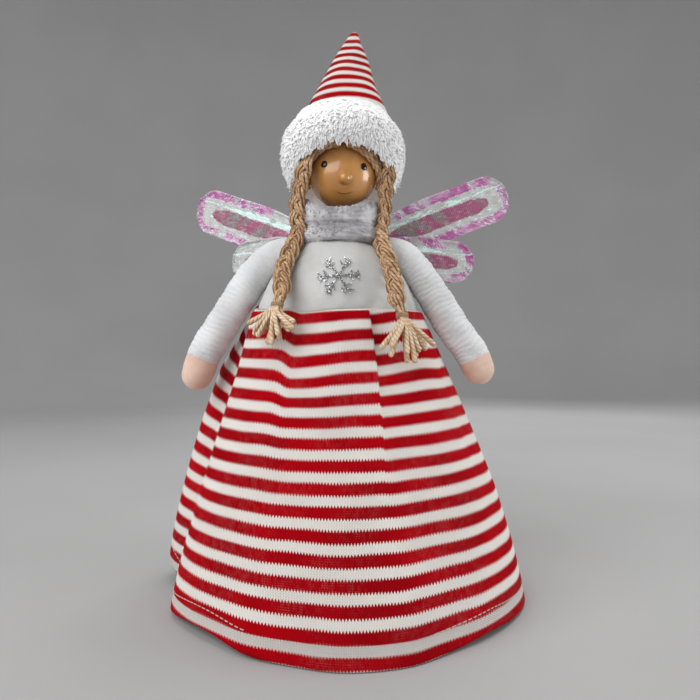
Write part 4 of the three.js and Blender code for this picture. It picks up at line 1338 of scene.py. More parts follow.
@dataclass
class Skirt:
    """The knitted skirt: a pleated bell with a turned-up hem, and the hem's stitches."""

    columns: int = 540
    rows: int = 128
    first_angle: float = -88.0
    cloth: float = 1.2
    waist_rise: float = 1.7
    hem_share: float = 0.06
    pleats: tuple[Triple, ...] = ((14.5, 3.8, 3.0), (60.0, 3.4, 2.6))
    pleat_drop: float = 3.0
    pleat_turn: float = 4.0
    ripples: tuple[tuple[float, int, float], ...] = ((0.6, 5, 1.1), (0.45, 9, 0.4), (0.3, 15, 2.2))
    roll: float = 0.006
    lip: float = 0.004
    stitch_length: float = 2.3
    stitch_step: float = 3.4
    swells: tuple[Swell, ...] = (
        Swell(-104, 22, 14, (4.5, 7, 9.2, 10.5, 9.6, 0)), Swell(82, 20, 26, (3.6, 4.3, 4.5, 3, 1.5, 0)),
        Swell(6, 24, 24, (2.2, 1.5, 0.8, 0.3, 0, 0)), Swell(-48, 18, 16, (-2.5, -1.8, -1, -0.4, 0, 0)),
        Swell(47, 15, 14, (-1.5, -1, -0.5, 0, 0, 0)), Swell(-6, 13, 16, (0, 0, 0, 0.5, 1.6, 2.6)),
        Swell(-79, 7, 9, (0, -1, -2.6, -4.4, -5.6, -0.8)), Swell(-64, 9, 16, (0, 0, -0.3, -0.9, -1.8, -1.6)),
    )
    rises: tuple[Swell, ...] = (
        Swell(-106, 24, 12, (14, 8.4, 4.6, 2, 0.5, 0)), Swell(-50, 20, 20, (4.2, 2.7, 1.5, 0.7, 0.2, 0)),
        Swell(50, 16, 16, (2.4, 1.5, 0.9, 0.4, 0.1, 0)), Swell(-23, 5, 20, (0, 0, 0, 0, -0.8, -1.8)),
        Swell(-100, 22, 24, (0, 0, 0, 0, 1, 4)),
    )
    sags: tuple[Swell, ...] = (
        Swell(-23, 6, 26, (0, 0, 0.3, 1.2, 4.2, 2.9)), Swell(-112, 30, 24, (-4, -5.5, -7.5, -10, -14, -16)),
    )

    def angles(self) -> Array:
        """Angles of the columns, from the seam on the doll's right, with the first one again at the end."""
        return self.first_angle + np.arange(self.columns + 1) * 360.0 / self.columns

    def height(self, angle: Array, share: Array) -> Array:
        """Height of the cloth, with its hem raised where it is caught up."""
        level = np.clip(share, 0, 1)
        return FIGURE.skirt_height * share + sum(rise.size(angle, level) for rise in self.rises)

    def points(self, angle: Array, share: Array, depth: Array) -> Array:
        """Points of the cloth.

        Args:
            angle: Angles around, as a row.
            share: Shares of the height, as a column.
            depth: How far inside the outer face, as a column.

        Returns:
            Rows and columns of points about the axis.
        """
        level = np.clip(share, 0, 1)
        turned = angle + np.zeros_like(share)
        for at, shift, spread in self.pleats:
            turned = turned + shift * eased(0.4, 0.9, level) * bump(angle, at, spread, spread)
        wave = np.radians(angle)
        ripple = (1 - level) * sum(size * np.sin(count * wave + start) for size, count, start in self.ripples)
        gather = level ** 6 * 0.35 * np.sin(37 * wave + 0.8 * np.sin(3 * wave))
        turned_fold = angle + self.pleat_turn * level ** 2 * np.exp(-((angle - 16) / 26) ** 2)
        swell = sum(swell.size(angle, level) for swell in self.swells)
        radius = FIGURE.skirt_radius(turned_fold, level) + ripple + gather + swell
        above = np.maximum(share - 1, 0) * FIGURE.skirt_height
        snug = FIGURE.torso_radius(FIGURE.skirt_height + above) + FIGURE.gap + self.cloth
        drawn = 0.75 * np.clip(above / self.waist_rise, 0, 1)
        radius = radius + (np.minimum(snug, radius) - radius) * drawn
        points = around(turned, radius - depth, self.height(angle, share))
        points[..., 0] += FIGURE.lean * level
        return points

    def cloth_length(self, share: Array) -> Array:
        """Length along the front of the cloth from its top edge.

        Args:
            share: Shares of the height.

        Returns:
            The lengths.
        """
        fine = np.linspace(1 + self.waist_rise / FIGURE.skirt_height, 0, 400)
        front = self.points(np.array([[0.0]]), fine[:, None], np.zeros((400, 1)))[:, 0]
        return np.interp(-share, -fine, line_lengths(front))

    @staticmethod
    def knitted(arc: Array) -> Array:
        """Length across the cloth as it was knitted, from the length that it is stretched to toward the sides.

        Args:
            arc: Lengths from the middle of the front or the back.

        Returns:
            Lengths before the cloth was stretched.
        """
        fine = np.linspace(0, 400, 801)
        rate = 1 / mixed(0.95, 1.45, eased(12, 70, fine))
        before = np.concatenate([[0.0], np.cumsum((rate[1:] + rate[:-1]) / 2 * np.diff(fine))])
        return np.sign(arc) * np.interp(np.abs(arc), fine, before)

    def build(self) -> None:
        """Makes the cloth and its stitches."""
        top = 1 + self.waist_rise / FIGURE.skirt_height
        outer = np.linspace(top - self.lip, self.roll, self.rows)
        inner = np.linspace(self.hem_share + self.roll, top - self.lip, 30)
        double = 2 * self.cloth
        edge = [(0.0018, 0.22 * double), (0.0, 0.5 * double), (0.0018, 0.78 * double), (self.roll, double)]
        turned_up = [(self.hem_share - self.lip, double), (self.hem_share, 0.85 * double)]
        pairs = [(s, 0.0) for s in outer] + edge + turned_up + [(s, self.cloth) for s in inner]
        pairs.append((top, 0.5 * self.cloth))
        share, depth = (np.array(column)[:, None] for column in zip(*pairs))
        angle = self.angles()[None]
        points = self.points(angle, share, depth)
        steps = np.linalg.norm(np.diff(points, axis=1), axis=2)
        arc = np.concatenate([np.zeros((len(pairs), 1)), np.cumsum(steps, axis=1)], axis=1)
        past = angle_from(angle, self.pleats[0][0])
        drop = self.pleat_drop * eased(0.3, 1.0, share) * eased(0.5, 3.0, past) * (1 - eased(6.0, 38.0, past))
        sag = sum(swell.size(angle, np.clip(share, 0, 1)) for swell in self.sags)
        along = self.cloth_length(self.height(angle, share) / FIGURE.skirt_height) - drop - sag
        half = self.columns // 2
        front, back = (round((place - self.first_angle) * self.columns / 360) for place in (0, 180))
        panels = arc[:, :half + 1] - arc[:, front:front + 1], arc[:, half:] - arc[:, back:back + 1]
        left_u = np.concatenate([panel[:, :-1] for panel in panels], 1)
        right_u = np.concatenate([panel[:, 1:] for panel in panels], 1)
        left = np.stack([self.knitted(left_u), along[:, :-1]], -1)
        right = np.stack([self.knitted(right_u), along[:, 1:]], -1)
        shape = Shape()
        shape.grid(points[:, :-1], np.concatenate([left, left[:1]]), loop=True,
                   uv_right=np.concatenate([right, right[:1]]))
        cloth = shape.build("skirt_cloth", SKIRT_KNIT, FIGURE.axis)
        dress(cloth, "doll", ["skirt"])
        stitches = self.stitches()
        length = float(self.cloth_length(np.array([0.0]))[0] + FIGURE.skirt_height * self.hem_share) * MM

    def stitches(self) -> Piece:
        """Makes the dashes of thread that hold the hem, where they show.

        Returns:
            The piece.
        """
        share = np.array([[self.hem_share + 0.008]])
        fine = np.linspace(27, 333, 1400)
        line = self.points(fine[None], share, np.array([[-0.1]]))[0]
        along = line_lengths(line)
        shape = Shape()
        for start in np.arange(0.0, along[-1] - self.stitch_length, self.stitch_step):
            at = start + np.linspace(0, self.stitch_length, 7)
            dash = np.stack([np.interp(at, along, line[:, k]) for k in range(3)], 1)
            outward_way = unit(dash * LEVEL)
            sink = 0.45 * np.linspace(-1, 1, 7) ** 4
            shape.tube(dash - outward_way * sink[:, None], 0.28, 6, outward_way[0])
        edge = self.points(np.linspace(-180, 180, 541)[None], np.array([[0.0025]]), np.array([[self.cloth]]))[0]
        shape.tube(edge, 0.45, 6, UP, round_ends=False)
        return dress(shape.build("skirt_hem_stitches", HEM_THREAD, FIGURE.axis), "doll")


@dataclass
class Torso:
    """The stuffed body with its roll collar and the glitter snowflake on its chest."""

    rows: int = 64
    columns: int = 120
    collar_tufts: int = 5200
    collar_low: float = 185.6
    collar_high: float = 203.6
    flake_height: float = 166.6
    flake_angle: float = 0.8
    flake_reach: float = 10.2
    flakes: int = 900
    seam_low: float = 147.0
    seam_high: float = 189.0

    def side(self, angle: Array, height: Array) -> Array:
        """Radius of the cloth over the filling, with its soft hollows.

        Args:
            angle: Angles around the body.
            height: Heights on it.

        Returns:
            The radii.
        """
        turn = np.radians(angle)
        lumps = 0.35 * np.sin(3 * turn + 0.08 * height) + 0.25 * np.sin(7 * turn - 0.11 * height + 1.0)
        pinch = 0.5 * np.exp(-((height - 153) / 4.0) ** 2) * np.sin(23 * turn + 0.6)
        loose = eased(142, 150, height)
        return FIGURE.torso_radius(height) + (lumps + pinch) * loose * (1 - eased(186, 192, height))

    def build(self) -> None:
        """Makes the body, the collar and the snowflake."""
        line = FIGURE.torso_line(np.linspace(0, 1, self.rows))
        angle = np.linspace(-180, 180, self.columns + 1)[None]
        height = line[:, 1][:, None]
        points = around(angle, self.side(angle, height), height)
        along = line_lengths(np.column_stack([line, np.zeros(self.rows)]))[:, None] + 0 * angle
        uv = np.stack([angle * math.pi / 180 * line[:, 0][:, None], along], -1)
        shape = Shape()
        shape.closed_grid(points[:, :-1], uv)
        body = shape.build("torso_fleece", BODY_FLEECE, FIGURE.upper)
        heights = np.array([vertex.co.z for vertex in body.data.vertices]) / MM
        settle(body, (heights < self.seam_low) | (heights > self.seam_high), pressure=2.0, reach=1.0)
        dress(body, "doll", ["torso_cover", "torso_fill"])
        self.collar()
        self.snowflake()

    def collar(self) -> None:
        """Makes the plush roll collar, doubled over and wider where it rests on the shoulders."""
        profile = np.array([
            (21.2, 0.0), (23.2, 0.03), (23.9, 0.14), (23.2, 0.28), (21.8, 0.42), (21.4, 0.5), (21.9, 0.6),
            (22.0, 0.74), (21.3, 0.88), (19.8, 0.97), (18.2, 1.0), (16.8, 0.92), (16.2, 0.7), (15.8, 0.4),
            (16.6, 0.1), (18.6, 0.01),
        ])
        ring = spline(np.column_stack([profile, np.zeros(len(profile))]), 90)[:, :2]
        angle = np.linspace(-180, 180, 241)[None]
        share = ring[:, 1][:, None]
        turn = np.radians(angle)
        wave = 0.5 * np.sin(turn * 3 + 0.7) + 0.35 * np.sin(turn * 5 + 2.0)
        dimple = 0.3 * np.sin(turn * 9 + 7 * share) * np.sin(turn * 4 - 11 * share)
        radius = ring[:, 0][:, None] + (0.4 * wave + dimple) * eased(16.5, 19.5, ring[:, 0])[:, None]
        lift = 4.6 * np.exp(-((np.abs(angle) - 66) / 28) ** 2) - 1.6 * np.exp(-(angle / 26) ** 2)
        height = mixed(self.collar_low, self.collar_high, share) + 0.5 * wave + lift * eased(0.4, 1.0, share)
        points = around(angle, radius, height)
        along = line_lengths(np.column_stack([ring[:, 0], 20 * ring[:, 1], np.zeros(len(ring))]))[:, None]
        uv = np.stack([turn * 20 + 0 * along, along + 0 * angle], -1)
        shape = Shape()
        shape.grid(points[:, :-1], np.concatenate([uv, uv[:1]]), loop=True)
        random = np.random.default_rng(5)
        row = random.integers(0, 62, self.collar_tufts)
        column = random.integers(0, 240, self.collar_tufts)
        root = points[row, column]
        out = unit(np.cross(points[row, column + 1] - root, points[row + 1, column] - root))
        out = np.where((out * unit(root * LEVEL)).sum(1, keepdims=True) < -0.3, -out, out)
        shape.tufts(root, out, random, length=(0.5, 1.0), width=0.32, stray=0.3)
        piece = hang(shape, "collar_roll", COLLAR_FLEECE, "doll", ["collar"])

    def snowflake(self) -> None:
        """Makes the flakes of glitter along six branched arms."""
        random = np.random.default_rng(7)
        bars: list[tuple[Array, Array]] = []
        for k in range(6):
            turn = math.radians(60 * k + 3 + random.normal(0, 3))
            way = np.array([math.cos(turn), math.sin(turn)])
            bars.append((way * 0.4, way * self.flake_reach))
            for reach, size in ((0.5, 3.2), (0.76, 2.8)):
                for bend in (-1, 1):
                    lean = turn + bend * math.radians(random.uniform(40, 60))
                    start = way * self.flake_reach * reach
                    bars.append((start, start + size * np.array([math.cos(lean), math.sin(lean)])))
        sizes = np.array([np.linalg.norm(end - start) for start, end in bars])
        picks = random.choice(len(bars), self.flakes, p=sizes / sizes.sum())
        shape = Shape()
        turn = circle(6)
        for pick in picks:
            start, end = bars[pick]
            spot = start + (end - start) * random.random() ** 1.15 + random.normal(0, 0.2, 2)
            height = self.flake_height + spot[1]
            angle = self.flake_angle + math.degrees(spot[0] / float(FIGURE.torso_radius(height)))
            centre = around(angle, self.side(angle, height) + 0.9 + 0.25 * random.random(), height)
            out = unit(around(angle, 1.0, 0.35) + random.normal(0, 0.35, 3))
            first = unit(np.cross(out, np.array([0.3, 0.2, 1.0])))
            second = np.cross(out, first)
            size = 0.2 + 0.2 * random.random()
            ring = size * (np.cos(turn)[:, None] * first + np.sin(turn)[:, None] * second)
            rows = np.stack([centre + ring - out * 0.06, centre + ring + out * 0.06])
            shape.closed_grid(rows, np.zeros((2, 7, 2)))
        hang(shape, "chest_snowflake", SILVER, "doll", smooth=False)


@dataclass
class Arm:
    """A stuffed sleeve that runs over the shoulder, and its hand."""

    side: Side
    rings: int = 210
    sides: int = 52
    rib_pitch: float = 2.7
    rib_depth: float = 0.42
    cuff_height: float = 127.0
    cuff_fuzz: int = 1400
    held_in: float = 14.0
    held_out: float = 6.5
    bend_start: Triple = (20.0, 0.0, 186.0)
    bend_end: Triple = (42.0, -1.0, 168.0)
    lines: dict[Side, Pairs] = sided(
        ((9.0, 180.0), (19.0, 182.4), (27.0, 182.6), (33.6, 180.6), (41.4, 172.2), (51.0, 158.0), (61.2, 141.4),
         (69.8, 129.4), (74.0, 120.4)),
        ((9.0, 180.0), (19.0, 182.4), (27.5, 182.4), (34.2, 180.2), (43.0, 171.8), (54.1, 155.2), (63.0, 140.9),
         (70.2, 128.6), (74.2, 117.4)),
    )

    def line(self) -> Array:
        """Middle of the arm about the leaning axis.

        Returns:
            Points from inside the shoulder to the middle of the hand's end.
        """
        forward = math.tan(math.radians(FIGURE.arm_forward)) / math.cos(math.radians(FIGURE.arm_angle))
        level = FIGURE.shoulder[1] - 6.0
        stations = [(self.side.value * x, -forward * max(level - z, 0.0), z) for x, z in self.lines[self.side]]
        return spline(np.array(stations), self.rings)

    def build(self) -> None:
        """Makes the sleeve and the hand."""
        word = self.side.word
        body = f"arm_{word}"
        line = self.line()
        cuff = int(np.argmin(np.abs(line[:, 2] - self.cuff_height) + 100 * (np.abs(line[:, 0]) < 40)))
        middle = line[:cuff + 1]
        along = line_lengths(middle)
        share = along / along[-1]
        radius = np.interp(share, [0, 0.12, 0.28, 0.45, 0.7, 0.93, 1.0], [6.2, 7.4, 8.0, 8.4, 8.5, 8.5, 8.3])
        turn = circle(self.sides)[None]
        down = along[:, None]
        wander = 0.9 * np.sin(2 * turn + 0.13 * down) + 0.5 * np.sin(5 * turn - 0.31 * down)
        ribs = self.rib_depth * np.abs(np.sin(math.pi * down / self.rib_pitch + wander)) ** 0.7
        lumps = 0.3 * np.sin(3 * turn + 0.4 * down + self.side.value) * np.sin(0.23 * down - turn)
        shape = Shape()
        uneven = (ribs + lumps) * eased(0.2, 0.42, share)[:, None]
        shape.tube(middle, radius[:, None] + uneven, self.sides, FRONT)
        self.add_fuzz(shape, middle, radius)
        sleeve = shape.build(f"sleeve_{word}_fleece", SLEEVE_FLEECE, FIGURE.upper)
        spots = np.array([vertex.co for vertex in sleeve.data.vertices]) / MM - FIGURE.upper
        held = (np.abs(spots[:, 0]) < self.held_in) | (spots[:, 2] < self.cuff_height + self.held_out)
        settle(sleeve, held, pressure=1.0, reach=0.5)
        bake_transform(sleeve)
        dress(sleeve, None, [f"sleeve_{word}", f"arm_fill_{word}"])
        self.hand(line[cuff:], body)

    def add_fuzz(self, shape: Shape, middle: Array, radius: Array) -> None:
        """Adds the loose fibres of the sleeve's end, which soften its edge on the hand.

        Args:
            shape: The sleeve.
            middle: Middle of the sleeve.
            radius: Its radius along the middle.
        """
        random = np.random.default_rng(31 + self.side.value)
        tangent, normal, binormal = carried_frames(middle, FRONT)
        row = len(middle) - 1 - (random.random(self.cuff_fuzz) ** 1.5 * 14).astype(int)
        turn = random.uniform(0, 2 * math.pi, self.cuff_fuzz)[:, None]
        radial = np.cos(turn) * normal[row] + np.sin(turn) * binormal[row]
        root = middle[row] + (radius[row, None] - 0.15) * radial
        way = unit(tangent[row] + 0.12 * radial)
        shape.tufts(root, way, random, length=(0.9, 2.6), width=0.3, stray=0.22, lit=radial)

    def hand(self, line: Array, body: str) -> None:
        """Makes the hand, gathered to the sleeve at the wrist.

        Args:
            line: Middle of the hand.
            body: The arm's CAD body.
        """
        word = self.side.word
        lead = line[0] - unit(line[1] - line[0]) * np.array([[3.0], [1.5]])
        path = resampled(np.vstack([lead, line]), 40)
        share = line_lengths(path) / line_lengths(path)[-1]
        radius = np.interp(share, [0, 0.1, 0.2, 0.26, 0.45, 0.8, 1.0], [7.0, 7.9, 8.25, 8.3, 8.6, 8.5, 8.1])
        tip = unit(path[-1] - path[-2])
        dome = np.radians(np.linspace(8, 84, 14))
        path = np.vstack([path, path[-1] + tip * (radius[-1] * np.sin(dome))[:, None]])
        radius = np.concatenate([radius, radius[-1] * np.cos(dome)])
        shape = Shape()
        shape.tube(path, radius, self.sides, FRONT, round_ends=False)
        piece = hang(shape, f"hand_{word}_cotton", HAND_COTTON, body, [f"hand_{word}"])


@dataclass
class Head:
    """The wooden ball head with its face and the yarn combed from the parting."""

    bore_radius: float = 4.3
    bore_depth: float = 22.0
    eye_angle: dict[Side, float] = sided(37.0, -32.0)
    eye_height: dict[Side, float] = sided(3.5, 7.0)
    eye_radius: float = 1.85
    nose_height: float = -16.5
    nose_angle: float = 3.6
    nose_radius: float = 2.7
    smile_height: float = -43.5
    smile_reach: float = 16.5
    lock_radius: float = 1.75
    lock_part: float = 38.0
    lock_end: dict[Side, tuple[float, float]] = sided((-20.0, 88.0), (-20.0, 84.0))
    lock_spacing: float = 11.9
    lock_start: float = 10.9
    lock_fall: dict[Side, float] = sided(1.4, 2.2)

    @property
    def centre(self) -> Array:
        """Middle of the ball about the leaning axis."""
        return np.array([FIGURE.head_shift, 0.0, FIGURE.head_height])

    def near(self, angle: Array | float, above: Array | float, distance: Array | float) -> Array:
        """Points near the head by an angle from the front, an angle above the middle and a distance."""
        rise = np.radians(above)
        return around(np.asarray(angle, float), distance * np.cos(rise), distance * np.sin(rise)) + self.centre

    def build(self) -> None:
        """Makes the ball, the face and the locks."""
        self.ball()
        self.nose()
        for side in Side:
            self.eye(side)
            for row in (0, 1):
                self.lock(side, row)
        self.smile()

    def revolved(self, profile: Array, centre: Array, way: Array, columns: int) -> Shape:
        """Solid of revolution.

        Args:
            profile: Radius and height along the axis, closed on the axis at both ends.
            centre: Where the height is zero.
            way: Direction of the axis.
            columns: Points around.

        Returns:
            The shape.
        """
        apart = (0.31, 0.17, 0.9) if abs(way[2]) < 0.9 else (1.0, 0.0, 0.0)
        first = unit(np.cross(way, np.array(apart)))
        second = np.cross(way, first)
        turn = circle(columns)
        ring = np.cos(turn)[:, None] * first + np.sin(turn)[:, None] * second
        points = centre + profile[:, 0][:, None, None] * ring[None] + profile[:, 1][:, None, None] * way
        shape = Shape()
        shape.closed_grid(points, wound_uv(profile[:, 1], columns))
        return shape

    def ball(self) -> None:
        """Makes the ball with the hole for its dowel."""
        radius = FIGURE.head_radius
        low = math.degrees(math.acos(self.bore_radius / radius))
        rise = np.radians(np.linspace(-low, 89.5, 56))
        outside = np.column_stack([radius * np.cos(rise), radius * np.sin(rise)])
        top = -radius + self.bore_depth
        hole = np.array([[0.4, top], [self.bore_radius - 0.2, top], [self.bore_radius, top - 0.4]])
        shape = self.revolved(np.vstack([hole, outside]), self.centre, UP, 80)
        hang(shape, "head_ball", WOOD, "doll", ["head"])

    def nose(self) -> None:
        """Makes the round nose, which eases into the ball."""
        way = unit(self.near(self.nose_angle, self.nose_height, 1.0) - self.centre)
        rise = np.radians(np.linspace(8, 89, 16))
        knob = np.column_stack([self.nose_radius * np.cos(rise), 1.2 + self.nose_radius * np.sin(rise) * 0.9])
        flare = np.array([[0.3, -1.2], [4.2, -0.75], [3.5, -0.1], [3.0, 0.5], [2.74, 1.1]])
        root = self.near(self.nose_angle, self.nose_height, FIGURE.head_radius)
        shape = self.revolved(np.vstack([flare, knob]), root, way, 40)
        hang(shape, "nose_knob", WOOD, "doll", ["nose"])

    def eye(self, side: Side) -> None:
        """Makes a gloss black eye, a low dome on the ball.

        Args:
            side: Side of the face.
        """
        angle, above = self.eye_angle[side], self.eye_height[side]
        way = unit(self.near(angle, above, 1.0) - self.centre)
        rise = np.radians(np.linspace(0, 88, 12))
        dome = np.column_stack([self.eye_radius * np.cos(rise), 0.15 + 0.75 * np.sin(rise)])
        profile = np.vstack([[[0.2, -0.8], [self.eye_radius * 0.96, -0.7]], dome])
        shape = self.revolved(profile, self.near(angle, above, FIGURE.head_radius), way, 28)
        hang(shape, f"eye_{side.word}_bead", EYE_BLACK, "doll", [f"eye_{side.word}"])

    def smile(self) -> None:
        """Makes the thin painted smile."""
        share = np.linspace(-1.0, 1.0, 27)
        angle, above = self.nose_angle + self.smile_reach * share, self.smile_height + 4.2 * share ** 2
        thick = np.interp(np.abs(share), [0, 0.7, 1], [0.22, 0.19, 0.08])
        shape = Shape()
        shape.tube(self.near(angle, above, FIGURE.head_radius + 0.05), thick, 8, FRONT)
        hang(shape, "smile_line", SMILE_BROWN, "doll")

    def lock(self, side: Side, row: int) -> None:
        """Makes a lock of yarn, combed from the parting round to the temple.

        Args:
            side: Side of the head.
            row: 0 for the lower lock and 1 for the upper one.
        """
        distance = FIGURE.head_radius + FIGURE.gap + self.lock_radius
        share = np.linspace(0, 1, 9)
        end_fall, end_angle = self.lock_end[side]
        fall = mixed(self.lock_part, end_fall, share ** self.lock_fall[side])
        angle = side.value * mixed(self.lock_start, end_angle, share)
        middle = spline(self.near(angle, fall + row * self.lock_spacing, distance), 80)
        shape = Shape()
        add_yarns(shape, middle, yarns=3, radius=1.02, offset=0.95, pitch=side.value * 14.0,
                  first=np.array([0.0, -1.0, 0.2]))
        name = f"fringe_{side.word}_{row + 1}"
        hang(shape, f"{name}_yarn", FRINGE_YARN, "doll", [name])


def add_yarns(shape: Shape, middle: Array, yarns: int, radius: float, offset: float, pitch: float,
              first: Array) -> None:
    """Adds yarns that run together along a line and turn about it.

    Args:
        shape: The shape to add to.
        middle: The line.
        yarns: How many yarns.
        radius: Radius of each.
        offset: Distance of their middles from the line.
        pitch: Length of one turn, negative for the other way round.
        first: Direction of the first yarn at the start.
    """
    _, normal, binormal = carried_frames(middle, first)
    along = line_lengths(middle)
    for k in range(yarns):
        turn = 2 * math.pi * (k / yarns + along / pitch)
        path = middle + offset * (np.cos(turn)[:, None] * normal + np.sin(turn)[:, None] * binormal)
        shape.tube(path, radius, 9, first)


@dataclass
class Hat:
    """The striped hat: a leaning knitted cone on a thick fur cuff."""

    brim_top: float = 260.2
    height: float = 42.0
    seam_radius: float = 19.6
    tip_radius: float = 2.2
    tuck: float = 6.0
    cloth: float = 1.1
    lean_side: float = 6.0
    lean_back: float = 10.0
    lean_curve: float = 1.3
    seat_shift: float = 1.8
    brim_middle: float = 219.7
    brim_tilt: float = 15.5
    brim_inner: float = 24.6
    brim_edge: float = 1.6
    brim_pile: float = 6.6
    brim_swell: float = 0.75
    pile_depth: float = 1.3
    fur_top: tuple[float, float] = (256.6, 254.0)
    tufts: int = 19000

    def cone_points(self, angle: Array, share: Array, depth: Array) -> Array:
        """Points of the cone's cloth about the leaning axis.

        Args:
            angle: Angles around, as a row.
            share: Shares of the height, 0 at the cuff and 1 at the tip, as a column.
            depth: How far inside the outer face, as a column.

        Returns:
            Rows and columns of points.
        """
        lean = np.maximum(share, 0) ** self.lean_curve
        turn = np.radians(angle)
        dent = 0.35 * np.sin(3 * turn + 6 * share) + 0.25 * np.sin(5 * turn - 9 * share)
        dent = dent * eased(0.0, 0.2, share) * (1 - eased(0.85, 1.0, share))
        radius = mixed(self.seam_radius, self.tip_radius, share) + dent
        points = around(angle, np.maximum(radius - depth, 0.15), self.brim_top + self.height * share)
        points[..., 0] += FIGURE.head_shift + self.seat_shift * (1 - share) + self.lean_side * lean
        points[..., 1] += self.lean_back * lean
        return points

    def build(self) -> None:
        """Makes the cone and the cuff."""
        self.cone()
        self.cuff()

    def cone(self) -> None:
        """Makes the knitted cone with its gathered tip."""
        angle = np.linspace(-180, 180, 145)[None]
        outer = np.linspace(-self.tuck / self.height, 1.0, 74)
        tip = [(1.012, 0.25), (1.026, 0.8), (1.034, 1.5), (0.93, self.cloth + 0.6)]
        inner = np.linspace(0.9, -self.tuck / self.height, 22)
        pairs = [(s, 0.0) for s in outer] + tip + [(s, self.cloth) for s in inner]
        share, depth = (np.array(column)[:, None] for column in zip(*pairs))
        points = self.cone_points(angle, share, depth)
        front = points[:, angle.shape[1] // 2]
        along = np.interp(share[:, 0], outer, line_lengths(front[:len(outer)]))
        along = np.where(share[:, 0] > 1, along + (share[:, 0] - 1) * self.height, along)[:, None]
        radius = mixed(self.seam_radius, self.tip_radius, share)
        uv = np.stack([np.radians(angle) * radius, along + 0 * angle], -1)
        shape = Shape()
        shape.grid(points[:, :-1], np.concatenate([uv, uv[:1]]), loop=True)
        cone = hang(shape, "hat_cone_knit", HAT_KNIT, "doll", ["hat_cone", "hat_fill"])
        width = 2 * math.pi * float(mixed(self.seam_radius, self.tip_radius, outer[0]))
        mean = math.pi * float(mixed(self.seam_radius, self.tip_radius, outer).mean()) * 2

    def seat(self, level: Array) -> Array:
        """Radius that clears the cone at a height."""
        share = (np.maximum(level, self.brim_top - self.tuck) - self.brim_top) / self.height
        return mixed(self.seam_radius, self.tip_radius, share) + 0.6

    def cuff_point(self, angle: Array, share: Array, pile: Array) -> Array:
        """Points of the cuff.

        Args:
            angle: Angles around.
            share: Shares of its height.
            pile: The pile's thickness there.

        Returns:
            The points.
        """
        low = self.brim_middle + self.brim_tilt * np.cos(np.radians(angle))
        height = low + (self.brim_top - low) * share
        top = float(self.seat(np.array(self.brim_top)))
        inner = np.maximum(mixed(self.brim_inner, top, share ** 2), self.seat(height))
        points = around(angle, inner + pile, height)
        points[..., 0] += FIGURE.head_shift
        return points

    def pile(self, share: Array) -> Array:
        """Thickness of the cuff at a share of its height, thin at the seam."""
        plain = self.brim_edge + self.brim_pile * np.sin(math.pi * np.clip(share, 0, 1) ** self.brim_swell)
        return plain * (1 - 0.72 * eased(0.52, 0.94, share))

    def top_share(self, angle: Array) -> Array:
        """Share of the cuff's height that the fur reaches, lower in front."""
        low = self.brim_middle + self.brim_tilt * np.cos(np.radians(angle))
        return (mixed(*self.fur_top, eased(15, 75, np.abs(angle))) - low) / (self.brim_top - low)

    def cuff(self) -> None:
        """Makes the backing of the cuff and the tufts of its pile."""
        angle = np.linspace(-180, 180, 121)[None]
        climb = np.concatenate([np.linspace(0.02, 1, 30), np.linspace(1, 0.02, 16)])[:, None]
        share = climb * self.top_share(angle)
        outside = np.concatenate([np.ones(30), np.zeros(16)])[:, None]
        thick = np.maximum(self.pile(share) - self.pile_depth, 0.9)
        lumps = 0.5 * np.sin(11 * np.radians(angle) + 9 * share) * np.sin(7 * np.radians(angle) - 13 * share)
        points = self.cuff_point(angle, share, (thick + lumps) * outside)
        uv = np.stack([np.radians(angle) * 30 + 0 * share, share * 40], -1)
        shape = Shape()
        shape.grid(points[:, :-1], np.concatenate([uv, uv[:1]]), loop=True)
        self.add_tufts(shape)
        piece = hang(shape, "hat_cuff_fur", FUR, "doll", ["hat_brim"])

    def add_tufts(self, shape: Shape) -> None:
        """Adds the tufts of the pile all over the outside.

        Args:
            shape: The shape of the cuff.
        """
        random = np.random.default_rng(11)
        angle = random.uniform(-180, 180, 3 * self.tufts)
        drop = self.brim_top - self.brim_middle - self.brim_tilt * np.cos(np.radians(angle))
        angle = angle[random.random(len(angle)) < drop / drop.max()][:self.tufts]
        share = random.uniform(0.01, 1.0, len(angle)) * self.top_share(angle)
        thick = np.maximum(self.pile(share) - self.pile_depth, 0.9)
        root = self.cuff_point(angle, share, thick - 0.3)
        spread = self.cuff_point(angle + 0.4, share, thick) - self.cuff_point(angle - 0.4, share, thick)
        climb = (self.cuff_point(angle, np.clip(share + 0.02, 0, 1), self.pile(share + 0.02))
                 - self.cuff_point(angle, np.clip(share - 0.02, 0, 1), self.pile(share - 0.02)))
        out = unit(np.cross(spread, climb))
        middle = np.array([FIGURE.head_shift, 0.0, 0.0])
        radial = unit((root - middle) * LEVEL)
        out = np.where((out * radial).sum(1, keepdims=True) < 0, -out, out)
        lit = unit(out + 0.3 * radial)
        out = unit(out + 0.25 * radial - 1.25 * UP)
        reach = 1 - 0.5 * eased(0.5, 0.85, share) + 0.1 * (1 - eased(0.0, 0.1, share))
        shape.tufts(root, unit(out) * reach[:, None], random, length=(2.0, 3.8), width=0.5, stray=0.5, lit=lit)


